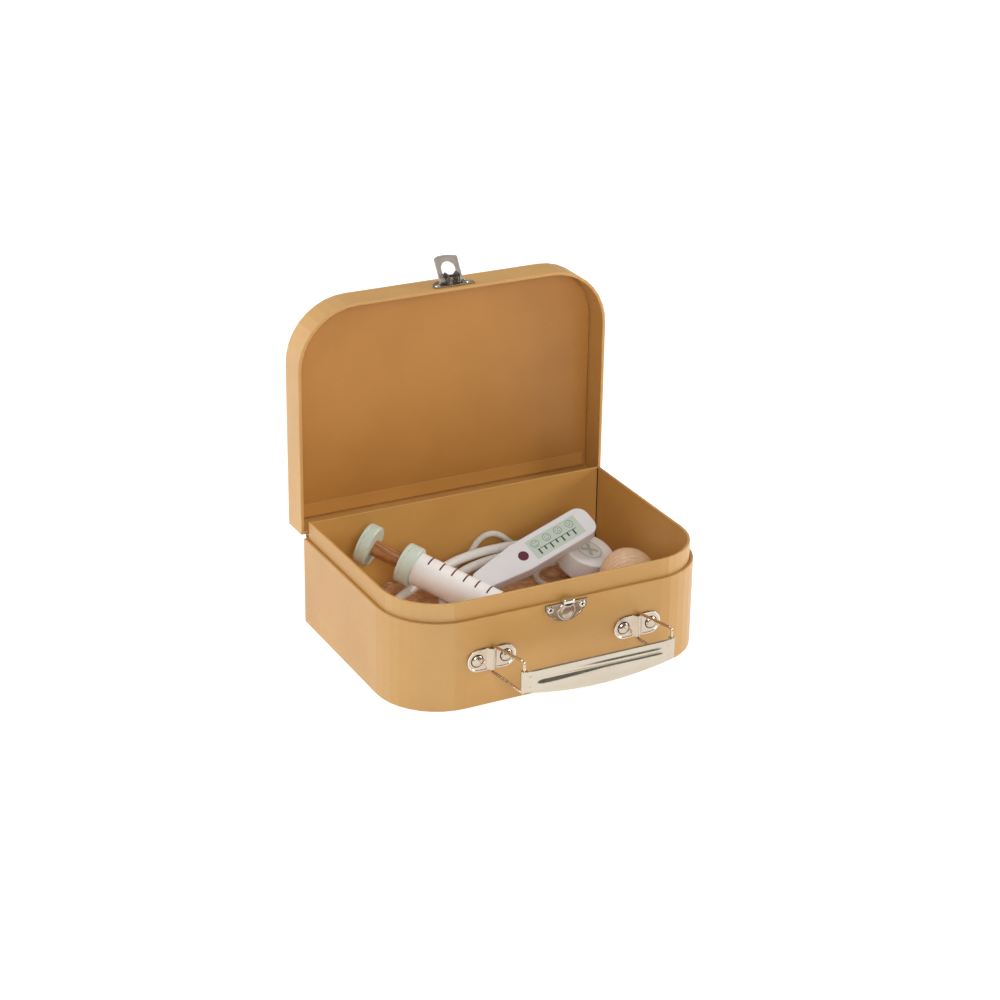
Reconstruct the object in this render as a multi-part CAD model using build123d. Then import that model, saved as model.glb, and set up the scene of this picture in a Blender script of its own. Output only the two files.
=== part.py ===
from build123d import *
import math
import os

# Toy doctor's suitcase of covered board, with its instruments inside.
# Millimetres. Origin: centre of the base's footprint on the table, +Z up,
# -Y towards the handle and the latch, +Y towards the paper hinge.
# The lid stands open at a right angle, as it does when the case is in use.

# ---------------------------------------------------------------- driving dimensions: case
CASE_W = 250.0          # outer width of the base
CASE_D = 173.6          # outer depth of the base
BASE_H = 68.0           # height of the outer wall
CORNER_R = 47.0         # front corners; the back corners are square
CORNER_SCORES = 9       # flats that the scored board makes round a front corner
BOARD = 2.4             # outer board
LINER_GAP = 0.4         # glue gap between the wall and its liner
LINER_T = 2.0           # liner board
LIP_RISE = 13.9         # how far the liner stands above the outer wall
FLOOR_T = 2.0           # base floor board
LINER_FLOOR_T = 1.2     # lining of the floor
FLOOR_FIT = 0.1         # play of a board inside its walls
EDGE_ROUND = 0.5        # rounding of covered board edges

LID_OVER_W = 2.7        # how much wider the lid is than the base
LID_OVER_D = 0.2        # how much deeper the lid is than the base
LID_H = 23.8            # outer height of the lid
LID_PANEL_T = 2.4       # lid's top board
LID_LINING_T = 1.2      # lining panel inside the lid
LID_LINING_GAP = 1.0    # open joint round the lining panel
LID_SEAT = 0.2          # gap between the closed lid and the wall it sits on

HINGE_BEHIND = 1.8      # hinge line behind the base's back face
HINGE_ABOVE = 0.7       # hinge line above the outer wall's top edge
TAPE_T = 0.5            # hinge tape
TAPE_W = 15.0           # tape glued on each wall
BEAD_R = 0.55           # rolled fold of the tape on the hinge line
BEAD_FIT = 0.2          # gap between that fold and the lid's half of the tape
LID_OPEN = 90.0         # opening angle at rest

# ---------------------------------------------------------------- driving dimensions: latch
PLATE_W = 33.0          # latch and catch plates are the same pressing
PLATE_H = 14.6
PLATE_T = 0.8
PLATE_RIVET_X = 12.7
PLATE_RIVET_IN = 3.8    # rivet line from the plate's straight edge
RIVET_R = 2.6
RIVET_H = 1.2
SHANK_R = 1.2
EYELET_R = 1.0          # open bore of the catch's tubular rivets
EYELET_DEEP = 0.8
RIM_W = 1.2             # pressed rim round the plates and the brackets
RIM_H = 0.3
CATCH_DROP = 1.3        # catch plate's straight edge below the wall's top edge
LATCH_LIFT = 3.0        # latch plate's straight edge above the lid's rim
CAGE_W = 9.6            # bridge that carries the hasp's pin
CAGE_L = 10.4
CAGE_H = 8.0
CAGE_T = 0.9
PIN_R = 0.8
PIN_OUT = 2.2           # pin's axis off the latch plate
PIN_UP = 9.6            # pin's axis above the lid's rim
HASP_W = 18.8
HASP_L = 18.0
HASP_T = 1.0
HASP_HOLE_W = 11.0
HASP_HOLE_END = 14.2    # arched end of the hole from the pin
HASP_LIP = 3.0          # finger lip at the hasp's end
HASP_LIP_BEND = 55.0    # how far the lip is bent away from the case
HASP_REST = 125.5       # hasp flipped up from its closed position
PIN_FIT = 0.1           # running clearance on the hasp's pin
CUP_R = 7.4
CUP_H = 1.1
CUP_ROUND = 0.8
DISH_R = 5.8            # dish pressed back into the cup
DISH_DEEP = 0.7
HOOK_W = 9.2
HOOK_OUT = 4.6
HOOK_SHELF = 2.3        # shelf's underside below the plate's straight edge
HOOK_HOOD = 3.8         # hood's rise above that edge
HOOK_T = 1.2
HOOK_FIT = 0.5          # play of the hook in the hasp's hole

# ---------------------------------------------------------------- driving dimensions: handle
BRACKET_X = 58.5        # bracket centres from the middle
BRACKET_Z = 36.0
BRACKET_W = 38.0
BRACKET_H = 17.2
BRACKET_T = 1.0
BRACKET_RIVET_X = 11.3
BRACKET_RIVET_R = 4.4
BRACKET_RIVET_H = 1.9
BRACKET_EYELET_R = 1.5  # bore of the brackets' tubular rivets
BRACKET_EYELET_DEEP = 1.2
HUMP_H = 16.4
HUMP_FOOT = 1.4         # spread of the hump where it meets the plate
HUMP_RELIEF = 1.0       # plate cut away beside the wire at the hump's two ends
WIRE_R = 1.05
WIRE_FIT = 0.3          # slack of the wire in its hump and in the handle's curl
BAIL_L = 39.5           # back leg to front leg
BAIL_FRONT_LOW = 26.0   # lower and upper ends of the front leg
BAIL_FRONT_HIGH = 50.6
BAIL_CORNER_R = 2.4
BAIL_EDGE_FIT = 0.35    # the bail's level legs clear the bracket plate's edges by this
BAIL_SWING = 6.5        # handle drawn a little to the right at rest
GRIP_T = 1.0
GRIP_END_H = 15.6       # height of the curled ends
GRIP_MID_H = 22.2       # height at the middle
GRIP_BULGE_R = 40.0     # roundness of the strip across its height
BOSS_L = 98.0           # pressed lens along the grip
BOSS_R = 5.2
BOSS_PROUD = 1.3
CREASE_L = 112.0
CREASE_R = 1.1
CREASE_DROP = 8.2       # crease below the strip's top edge
CREASE_DEEP = 0.7

# ---------------------------------------------------------------- driving dimensions: instruments
# Places in the case are given from a lay-out line that keeps its distance from the back wall.
LAY_FROM_BACK = 86.8    # lay-out line in front of the back wall's outer face
SYRINGE_KNOB = (-81.7, 66.8, 62.4)   # centre of the plunger's knob
SYRINGE_TURN = -49.7                 # heading of the axis, from +X
SYRINGE_DIP = 16.6                   # how much the axis falls
KNOB_R = 15.9
KNOB_T = 9.4
ROD_R = 6.1
FLANGE_R = 15.4
FLANGE_T = 11.8
KNOB_TO_FLANGE = 34.6                # centre to centre, plunger drawn out
BARREL_R = 12.4
BARREL_BORE_R = 9.0
BARREL_END = 119.0                   # barrel's end from the knob's centre
BARREL_END_T = 6.0
NOZZLE_R = 4.2
NOZZLE_L = 14.0
PISTON_R = 8.7
PISTON_T = 10.0
ROD_BORE_FIT = 0.3
WOOD_ROUND = 1.6                     # rounding of turned edges
GROOVE_W = 0.9                       # turned grooves of the knob, the flange and the chest piece
GROOVE_DEEP = 0.45
KNOB_GROOVE = 2.9                    # groove from the knob's outer face
FLANGE_GROOVE = 3.4                  # groove from the flange's outer face

THERMO_END = (84.7, 29.2, 68.6)      # middle of the face's right end
THERMO_TURN = 6.4
THERMO_RISE = 16.0
THERMO_ROLL = 28.9
THERMO_L = 107.0
THERMO_W = 26.0
THERMO_T = 10.0
THERMO_TIP_W = 15.0
THERMO_TAPER_AT = 66.0               # the taper starts here from the right end
THERMO_ROUND = 9.0
THERMO_EDGE = 0.9

CHEST_FACE = (81.7, 24.0, 43.7)      # centre of the chest piece's face
CHEST_TILT = 21.3
CHEST_TURN = -58.0
CHEST_R = 20.1
CHEST_T = 17.4
CHEST_ROUND = 1.4
DISC_R = 10.6
DISC_T = 0.8
CHEST_CORD_AT = 9.0                  # cord's hole below the face
CORD_HOLE = 9.0                      # how deep the cord is glued in

BALL_CENTRE = (87.8, -23.1, 40.6)    # hammer's head
BALL_R = 21.2
HAMMER_R = 6.2
HAMMER_L = 98.0
HAMMER_TURN = 157.7
HAMMER_DIP = 10.4

TUBE_R = 3.6                         # headset tubes
EAR_R = 6.0
EAR_L = 15.0
YOKE_R = 4.4
YOKE_NOSE_R = 3.6
YOKE_L = 15.0

ROPE_R = 2.3                         # braided cord
FILL_Z = 15.5                        # paper bed's height at the middle
FILL_RISE = 0.10                     # its rise towards the back
FILL_PLAY = 0.6
MOUNDS = [(88.0, -24.0, 19.1, 60.0), (86.0, 12.0, 20.3, 45.0), (-13.0, -14.0, 17.1, 12.0)]

# ---------------------------------------------------------------- places worked out from the above
WALL_BACK = CASE_D / 2
WALL_FRONT = -CASE_D / 2
LINER_IN = BOARD + LINER_GAP
ROOM_IN = LINER_IN + LINER_T
LIP_TOP = BASE_H + LIP_RISE
RIM_Z = BASE_H + LID_SEAT
LID_W = CASE_W + LID_OVER_W
LID_D = CASE_D + LID_OVER_D
LID_R = CORNER_R + LID_OVER_D / 2
LID_FRONT = -LID_D / 2
HINGE_LINE = (WALL_BACK + HINGE_BEHIND, BASE_H + HINGE_ABOVE)
HINGE = Axis((0, *HINGE_LINE), (1, 0, 0))
ROOM_FLOOR = FLOOR_T + LINER_FLOOR_T


def lay(shape):
    """Place one of the case's contents, drawn from the lay-out line."""
    return Pos(0, WALL_BACK - LAY_FROM_BACK, 0) * shape


def write(shape, name):
    """Write one node, a solid or a group of solids, to its STEP file."""
    shape.label = name
    export_step(shape, f"parts/{name}.step")


def outline(width, depth, radius, inset):
    """Plan of the case: square at the back, scored round corners at the front."""
    half_w = width / 2 - inset
    half_d = depth / 2 - inset
    r = radius - inset
    points = [(half_w, half_d), (-half_w, half_d)]
    for side, start in ((-1, 180), (1, 270)):
        centre = (side * (half_w - r), r - half_d)
        for k in range(CORNER_SCORES + 1):
            a = math.radians(start + 90 * k / CORNER_SCORES)
            points.append((centre[0] + r * math.cos(a), centre[1] + r * math.sin(a)))
    return make_face(Polyline(*points, close=True))


def wall(width, depth, radius, outer, thickness, low, high):
    """Upright board wall on the case's plan, its edges rounded at the top."""
    ring = outline(width, depth, radius, outer) - outline(width, depth, radius, outer + thickness)
    return Pos(0, 0, low) * extrude(ring, high - low)


def board(width, depth, radius, inset, low, thickness):
    """Flat board of the case's plan."""
    return Pos(0, 0, low) * extrude(outline(width, depth, radius, inset), thickness)


def round_level(shape, z, radius):
    """Round the edges that lie at one height."""
    level = shape.edges().filter_by(lambda e: abs(e.center().Z - z) < 0.01
                                    and abs(e.bounding_box().size.Z) < 0.01)
    return fillet(level, radius)


def open_lid(shape):
    """Turn a piece from the closed lid's place to the open one's."""
    return shape.rotate(HINGE, -LID_OPEN)


def plane_at(origin, direction, up=(0, 0, 1)):
    """Plane whose normal runs along a direction, with its y as near to up as it can be."""
    z = Vector(*direction).normalized()
    x = Vector(*up).cross(z).normalized()
    return Plane(origin=origin, x_dir=x, z_dir=z)


def along(start, direction, distance):
    """Point at a distance from another."""
    return tuple(s + distance * d for s, d in zip(start, direction))


def heading(turn, dip):
    """Unit vector that points turn degrees round from +X and dip degrees down."""
    t, d = math.radians(turn), math.radians(dip)
    return (math.cos(d) * math.cos(t), math.cos(d) * math.sin(t), -math.sin(d))


def tube(points, radius, name):
    """Round tube of straight runs and tangent arcs, as large as the runs allow."""
    vectors = [Vector(*p) for p in points]
    radii = []
    for before, at, after in zip(vectors, vectors[1:], vectors[2:]):
        run_in, run_out = at - before, after - at
        half_turn = math.radians(run_in.get_angle(run_out)) / 2
        radii.append(0.45 * min(run_in.length, run_out.length) / math.tan(half_turn))
    path = FilletPolyline(*points, radius=radii)
    section = Plane(origin=path @ 0, z_dir=path % 0) * Circle(radius)
    solid = sweep(section, path=path)
    share = solid.volume / (math.pi * radius ** 2 * path.length)
    print(f"{name}: length {path.length:.1f}, smallest radius {min(radii):.1f}, volume share {share:.4f}")
    print("  radii", [round(r, 1) for r in radii])
    return solid


def groove(radius, at):
    """V-shaped ring to cut from a turned piece at a height."""
    half = GROOVE_W / 2
    section = Polyline((radius - GROOVE_DEEP, at), (radius + 0.5, at - half * (1 + 0.5 / GROOVE_DEEP)),
                       (radius + 0.5, at + half * (1 + 0.5 / GROOVE_DEEP)), close=True)
    return revolve(Plane.XZ * make_face(section), Axis.Z)


def hinge_leaf(back, low, high, bend, width):
    """Tape on a back wall with a web that leaves it at the bend and runs to the hinge line."""
    strip = Pos(0, back + TAPE_T / 2, (low + high) / 2) * Box(width, TAPE_T, high - low)
    root = Vector(0, back + TAPE_T / 2, bend)
    line = Vector(0, *HINGE_LINE)
    half = (line - root).normalized().cross(Vector(1, 0, 0)) * (TAPE_T / 2)
    corners = [root + half, root - half, line - half, line + half]
    web = extrude(make_face(Polyline(*corners, close=True)), width / 2, dir=(1, 0, 0), both=True)
    return strip + web


# ---------------------------------------------------------------- base
def make_base():
    """Outer wall, floor, liner with its lip, floor lining and hinge tape."""
    shell = wall(CASE_W, CASE_D, CORNER_R, 0, BOARD, 0, BASE_H)
    write(round_level(shell, BASE_H, EDGE_ROUND), "base_wall")
    write(board(CASE_W, CASE_D, CORNER_R, BOARD + FLOOR_FIT, 0, FLOOR_T), "base_floor")
    liner = wall(CASE_W, CASE_D, CORNER_R, LINER_IN, LINER_T, FLOOR_T, LIP_TOP)
    write(round_level(liner, LIP_TOP, EDGE_ROUND), "base_liner")
    lining = board(CASE_W, CASE_D, CORNER_R, ROOM_IN + FLOOR_FIT, FLOOR_T, LINER_FLOOR_T)
    write(lining, "floor_lining")
    low, high = BASE_H - TAPE_W, BASE_H - 0.4
    tape = hinge_leaf(WALL_BACK, low, high, BASE_H - 0.9, CASE_W - 2 * BOARD)
    bead = Pos(0, *HINGE_LINE) * Rot(0, 90, 0) * Cylinder(BEAD_R, CASE_W - 2 * BOARD)
    write(tape + bead, "hinge_tape_base")


# ---------------------------------------------------------------- lid
def make_lid():
    """Lid wall, top board, lining panel and its half of the hinge tape."""
    top = RIM_Z + LID_H
    rim = wall(LID_W, LID_D, LID_R, 0, BOARD, RIM_Z, top - LID_PANEL_T)
    write(open_lid(round_level(rim, RIM_Z, EDGE_ROUND)), "lid_wall")
    panel = board(LID_W, LID_D, LID_R, 0, top - LID_PANEL_T, LID_PANEL_T)
    write(open_lid(round_level(panel, top, EDGE_ROUND)), "lid_panel")
    lining = board(LID_W, LID_D, LID_R, BOARD + LID_LINING_GAP,
                   top - LID_PANEL_T - LID_LINING_T, LID_LINING_T)
    write(open_lid(lining), "lid_lining")
    low, high = RIM_Z + 0.6, RIM_Z + TAPE_W
    tape = hinge_leaf(LID_D / 2, low, high, RIM_Z + 1.2, CASE_W - 2 * BOARD)
    relief = Pos(0, *HINGE_LINE) * Rot(0, 90, 0) * Cylinder(BEAD_R + BEAD_FIT, CASE_W)
    write(open_lid(tape - relief), "hinge_tape_lid")


# ---------------------------------------------------------------- latch and catch
def press_plate():
    """Plate with a straight edge along x at y = 0 and a rounded back, 33 wide."""
    half = PLATE_W / 2
    edge = Polyline((-half, 4.2), (-half, 0), (half, 0), (half, 4.2))
    back = ThreePointArc((half, 4.2), (0, PLATE_H), (-half, 4.2))
    face = make_face(edge + back)
    rim = face - offset(face, -RIM_W, kind=Kind.INTERSECTION)
    return extrude(face, PLATE_T) + extrude(rim, PLATE_T + RIM_H)


def rivets(places, head_r, head_h, shank_l, bore=(0, 0)):
    """Domed rivet heads with shanks, the heads towards +z from z = 0; bore is a radius and a depth."""
    group = []
    dome_r = (head_r ** 2 + head_h ** 2) / (2 * head_h)
    dome = Pos(0, 0, head_h - dome_r) * Sphere(dome_r)
    head = dome & Pos(0, 0, head_h / 2) * Cylinder(head_r, head_h)
    if bore[0]:
        head = head - Pos(0, 0, head_h) * Cylinder(bore[0], 2 * bore[1])
    shank = Pos(0, 0, -shank_l / 2) * Cylinder(SHANK_R, shank_l)
    for x, y in places:
        group.append(Pos(x, y, 0) * (head + shank))
    return group


def seats(places, radius, height):
    """Flat round seats to clear for what stands on a plate, from its face upwards."""
    return [Pos(x, y, height + 1) * Cylinder(radius, 2) for x, y in places]


def holes(places, depth):
    """Clearance holes for rivet shanks, from z = 0 to depth."""
    return [Pos(x, y, depth / 2) * Cylinder(SHANK_R, depth + 0.4) for x, y in places]


def on_front(shapes, y, z, flip):
    """Place flat work drawn on x-y against a front face, its y upwards or downwards."""
    up = -1 if flip else 1
    frame = Plane(origin=(0, y, z), x_dir=(up, 0, 0), z_dir=(0, -1, 0))
    return [frame.location * s for s in shapes]


def make_catch():
    """Catch on the base's front: plate, pressed cup, hook and rivets."""
    z = BASE_H - CATCH_DROP
    places = [(-PLATE_RIVET_X, PLATE_RIVET_IN), (PLATE_RIVET_X, PLATE_RIVET_IN)]
    cup_z = PLATE_H / 2 - 0.6
    plate = press_plate() - holes(places, PLATE_T) - seats(places, RIVET_R, PLATE_T)
    plate = plate - seats([(0, cup_z)], CUP_R, PLATE_T)
    dish_r = (DISH_R ** 2 + DISH_DEEP ** 2) / (2 * DISH_DEEP)
    cup = Pos(0, 0, CUP_H / 2) * Cylinder(CUP_R, CUP_H)
    cup = fillet(cup.edges().sort_by(Axis.Z)[-1], CUP_ROUND)
    cup = Pos(0, cup_z, PLATE_T) * (cup - Pos(0, 0, CUP_H - DISH_DEEP + dish_r) * Sphere(dish_r))
    # hook: a shelf for the hasp's end bar, its hood turned up in front of the lid's rim
    lip = HOOK_OUT - HOOK_T
    profile = make_face(Polyline(
        (HOOK_SHELF, 0), (HOOK_SHELF, HOOK_OUT - 0.6), (HOOK_SHELF - 0.6, HOOK_OUT),
        (-HOOK_HOOD + 0.5, HOOK_OUT), (-HOOK_HOOD, HOOK_OUT - 0.5), (-HOOK_HOOD + 0.3, lip),
        (HOOK_SHELF - 1.8, lip), (HOOK_SHELF - 1.3, lip - 0.6), (HOOK_SHELF - 1.3, 0), close=True))
    side = Plane(origin=(-HOOK_W / 2, 0, PLATE_T), x_dir=(0, 1, 0), z_dir=(1, 0, 0))
    hook = extrude(side * profile, HOOK_W)
    # its corners follow the hasp's arched hole, which comes down round it
    arch = Pos(0, HASP_HOLE_END - HASP_HOLE_W / 2 - PIN_UP - LID_SEAT - CATCH_DROP, 0)
    room = HASP_HOLE_W - 2 * HOOK_FIT
    hole = arch * (Circle(room / 2) + Pos(0, -HOOK_HOOD) * Rectangle(room, 2 * HOOK_HOOD))
    hook = hook & Pos(0, 0, -1) * extrude(hole, 2 * HOOK_OUT + 2)
    hook = hook - cup
    plate, cup, hook = on_front([plate, cup, hook], WALL_FRONT, z, True)
    write(plate, "catch_plate")
    write(cup, "catch_cup")
    write(hook, "catch_hook")
    heads = rivets(places, RIVET_R, RIVET_H, PLATE_T, (EYELET_R, EYELET_DEEP))
    heads = [Pos(0, 0, PLATE_T) * h for h in heads]
    write(Compound(children=on_front(heads, WALL_FRONT, z, True)), "catch_rivets")


def make_latch():
    """Latch on the lid's front: plate, bridge, pin, hasp and rivets."""
    z = RIM_Z + LATCH_LIFT
    places = [(-PLATE_RIVET_X, PLATE_RIVET_IN), (PLATE_RIVET_X, PLATE_RIVET_IN)]
    plate = press_plate() - holes(places, PLATE_T) - seats(places, RIVET_R, PLATE_T)
    # bridge: two ears and a cross strap on the rim's side, open at the top
    low = PIN_UP - LATCH_LIFT - CAGE_L / 2
    half = CAGE_W / 2
    outer = Pos(0, low + CAGE_L / 2, PLATE_T + CAGE_H / 2) * Box(CAGE_W, CAGE_L, CAGE_H)
    inner = Pos(0, low + CAGE_L / 2 + CAGE_T, PLATE_T + CAGE_H / 2)
    inner = inner * Box(CAGE_W - 2 * CAGE_T, CAGE_L, CAGE_H)
    strap_hole = Pos(0, low, PLATE_T + CAGE_H * 0.36) * Box(CAGE_W - 2.6, 3 * CAGE_T, CAGE_H * 0.72)
    ear_slot = Pos(0, low + CAGE_L * 0.30, PLATE_T + CAGE_H * 0.3) * Box(CAGE_W + 1, 2.2, CAGE_H * 0.6)
    bridge = outer - inner - strap_hole - ear_slot
    pin_spot = Pos(0, PIN_UP - LATCH_LIFT, PLATE_T + PIN_OUT) * Rot(0, 90, 0)
    bridge = bridge - pin_spot * Cylinder(PIN_R, CAGE_W + 1)
    tail = outer & Pos(0, low + CAGE_L, PLATE_T + CAGE_H) * Rot(45, 0, 0) * Box(CAGE_W + 1, 5.0, 5.0)
    bridge = bridge - tail
    pin = pin_spot * Cylinder(PIN_R, HASP_W)
    plate, bridge, pin = on_front([plate, bridge, pin], LID_FRONT, z, False)
    write(open_lid(plate), "latch_plate")
    write(open_lid(bridge), "latch_bridge")
    write(open_lid(pin), "latch_pin")
    heads = rivets(places, RIVET_R, RIVET_H, PLATE_T)
    heads = [Pos(0, 0, PLATE_T) * h for h in heads]
    heads = [open_lid(h) for h in on_front(heads, LID_FRONT, z, False)]
    write(Compound(children=heads), "latch_rivets")
    make_hasp()


def make_hasp():
    """Hinged hasp: two arms on the pin, an arched hole and a bent finger lip."""
    half = HASP_W / 2
    hole_half = HASP_HOLE_W / 2
    face = Pos(0, HASP_L / 2) * Rectangle(HASP_W, HASP_L)
    face = fillet(face.vertices().sort_by(Axis.Y)[-2:], 1.6)
    arch_y = HASP_HOLE_END - hole_half
    hole = Pos(0, (arch_y - 4) / 2) * Rectangle(HASP_HOLE_W, arch_y + 4) + Pos(0, arch_y) * Circle(hole_half)
    sheet = Pos(0, 0, -HASP_T / 2) * extrude(face - hole, HASP_T)
    lip = make_face(Polyline((-half + 1.2, 0), (half - 1.2, 0)) + Spline(
        (half - 1.2, 0), (half - 4.0, HASP_LIP), (-half + 4.0, HASP_LIP), (-half + 1.2, 0)))
    lip = Pos(0, 0, -HASP_T / 2) * extrude(lip, HASP_T)
    lip = Pos(0, HASP_L - HASP_T, 0) * Rot(HASP_LIP_BEND, 0, 0) * Pos(0, HASP_T / 2, 0) * lip
    arm_w = half - hole_half
    for side in (-1, 1):
        knuckle = Rot(0, 90, 0) * Cylinder(PIN_R + PIN_FIT + 0.9, arm_w)
        sheet = sheet + Pos(side * (half - arm_w / 2), 0, 0) * knuckle
    sheet = sheet + lip
    sheet = sheet - Rot(0, 90, 0) * Cylinder(PIN_R + PIN_FIT, HASP_W + 2)
    axis_y = LID_FRONT - PLATE_T - PIN_OUT
    hasp, = on_front([sheet], axis_y, RIM_Z + PIN_UP, True)
    pin_axis = Axis((0, axis_y, RIM_Z + PIN_UP), (1, 0, 0))
    write(open_lid(hasp.rotate(pin_axis, -HASP_REST)), "latch_hasp")


# ---------------------------------------------------------------- handle
WIRE_Y = WALL_FRONT - WIRE_R - WIRE_FIT
HUMP_LOW = BRACKET_Z - HUMP_H / 2
HUMP_HIGH = HUMP_LOW + HUMP_H
BAIL_BACK_LOW = BRACKET_Z - BRACKET_H / 2 - WIRE_R - BAIL_EDGE_FIT
BAIL_BACK_HIGH = BRACKET_Z + BRACKET_H / 2 + WIRE_R + BAIL_EDGE_FIT


def make_brackets():
    """Pressed bracket plates with a hump over the bail's back leg, and their rivets."""
    places = [(-BRACKET_RIVET_X, 0), (BRACKET_RIVET_X, 0)]
    slot_r = WIRE_R + WIRE_FIT
    bead_r = slot_r + BRACKET_T
    axis_out = WIRE_R + WIRE_FIT
    plan = SlotOverall(BRACKET_W, BRACKET_H)
    rim = plan - SlotOverall(BRACKET_W - 2 * RIM_W, BRACKET_H - 2 * RIM_W)
    plate = extrude(plan, BRACKET_T) + extrude(rim, BRACKET_T + RIM_H) - holes(places, BRACKET_T)
    foot = bead_r + HUMP_FOOT
    rise = BRACKET_T + HUMP_FOOT
    section = Pos(0, axis_out) * Circle(bead_r) + Pos(0, axis_out / 2) * Rectangle(2 * bead_r, axis_out)
    section &= Pos(0, bead_r) * Rectangle(4 * bead_r, 2 * bead_r)
    flare = make_face(Polyline((-foot, 0), (foot, 0), (foot, BRACKET_T), (bead_r, rise),
                               (-bead_r, rise), (-foot, BRACKET_T), close=True))
    slot = Pos(0, axis_out) * Circle(slot_r) + Pos(0, (axis_out - 1) / 2) * Rectangle(2 * slot_r, axis_out + 1)
    upright = Plane(origin=(0, HUMP_LOW - BRACKET_Z, 0), x_dir=(-1, 0, 0), z_dir=(0, 1, 0))
    hump = extrude(upright * (section + flare), HUMP_H)
    channel = Pos(0, -2, 0) * extrude(upright * slot, HUMP_H + 4)
    low, high = HUMP_LOW - BRACKET_Z, HUMP_HIGH - BRACKET_Z
    relief_w = 2 * (slot_r + HUMP_RELIEF)
    for near, far in ((low, -BRACKET_H / 2 - 1), (high, BRACKET_H / 2 + 1)):
        channel = channel + Pos(0, (near + far) / 2, 0) * Box(relief_w, abs(far - near), 3 * BRACKET_T)
    bracket = plate + hump - channel
    eyelet = (BRACKET_EYELET_R, BRACKET_EYELET_DEEP)
    heads = rivets(places, BRACKET_RIVET_R, BRACKET_RIVET_H, BRACKET_T, eyelet)
    heads = [Pos(0, 0, BRACKET_T) * h for h in heads]
    group = []
    for side, name in ((-1, "left"), (1, "right")):
        spot = Pos(side * BRACKET_X, 0, 0)
        placed, = on_front([bracket], WALL_FRONT, BRACKET_Z, False)
        write(spot * placed, f"handle_bracket_{name}")
        group += [spot * h for h in on_front(heads, WALL_FRONT, BRACKET_Z, False)]
    write(Compound(children=group), "bracket_rivets")


def make_bails():
    """Wire bails, hinged upright in the brackets' humps."""
    for side, name in ((-1, "left"), (1, "right")):
        corners = [(0, 0, BAIL_BACK_LOW), (0, 0, BAIL_BACK_HIGH),
                   (0, -BAIL_L, BAIL_FRONT_HIGH), (0, -BAIL_L, BAIL_FRONT_LOW)]
        path = FilletPolyline(*corners, radius=BAIL_CORNER_R, close=True)
        section = Plane(origin=path @ 0, z_dir=path % 0) * Circle(WIRE_R)
        loop = sweep(section, path=path)
        pivot = Pos(side * BRACKET_X, WIRE_Y, 0) * Rot(0, 0, BAIL_SWING)
        write(pivot * loop, f"bail_{name}")


def make_grip():
    """Pressed handle strip with ends curled round the bails' front legs."""
    half = BRACKET_X
    curl_r = WIRE_R + WIRE_FIT + GRIP_T
    low = BAIL_FRONT_LOW + BAIL_CORNER_R - 0.5
    top = low + GRIP_END_H
    drop = GRIP_MID_H - GRIP_END_H
    outline_edge = Polyline((-half, low), (-half, top), (half, top), (half, low))
    belly = ThreePointArc((half, low), (0, low - drop), (-half, low))
    front = Plane(origin=(0, 40, 0), x_dir=(1, 0, 0), z_dir=(0, -1, 0))
    blank = extrude(front * make_face(outline_edge + belly), 80)
    mid_z = (low + top) / 2
    bulge_y = GRIP_BULGE_R - curl_r - 0.6
    shell = Pos(0, bulge_y, mid_z) * Rot(0, 90, 0) * Cylinder(GRIP_BULGE_R, 2 * half)
    shell = shell - Pos(0, bulge_y, mid_z) * Rot(0, 90, 0) * Cylinder(GRIP_BULGE_R - GRIP_T, 2 * half + 2)
    strip = blank & shell & Pos(0, bulge_y - GRIP_BULGE_R, mid_z) * Box(3 * half, 2 * GRIP_BULGE_R, 60)
    # pressed lens: an arc turned about the grip's length
    half_boss = BOSS_L / 2
    arc = ThreePointArc((-half_boss, 0), (0, BOSS_R), (half_boss, 0))
    lens = revolve(make_face(arc + Line((half_boss, 0), (-half_boss, 0))), Axis.X)
    lens_y = bulge_y - GRIP_BULGE_R - BOSS_PROUD + BOSS_R
    lens = Pos(0, lens_y, mid_z - 1.5) * lens
    hollow = Pos(0, bulge_y, mid_z) * Rot(0, 90, 0) * Cylinder(GRIP_BULGE_R - GRIP_T, 2 * half + 2)
    crease_z = top - CREASE_DROP
    crease_arc = ThreePointArc((-CREASE_L / 2, 0), (0, CREASE_R), (CREASE_L / 2, 0))
    crease = revolve(make_face(crease_arc + Line((CREASE_L / 2, 0), (-CREASE_L / 2, 0))), Axis.X)
    face_y = bulge_y - math.sqrt(GRIP_BULGE_R ** 2 - (crease_z - mid_z) ** 2)
    crease = Pos(0, face_y + CREASE_DEEP - CREASE_R, crease_z) * crease
    grip = strip + (lens - hollow) - crease
    for side in (-1, 1):
        curl = Pos(side * half, 0, mid_z) * Cylinder(curl_r, GRIP_END_H)
        grip = grip + curl
    for side in (-1, 1):
        grip = grip - Pos(side * half, 0, mid_z) * Cylinder(WIRE_R + WIRE_FIT, GRIP_END_H + 20)
    swing = math.radians(BAIL_SWING)
    write(Pos(BAIL_L * math.sin(swing), WIRE_Y - BAIL_L * math.cos(swing), 0) * grip, "handle_grip")


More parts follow.
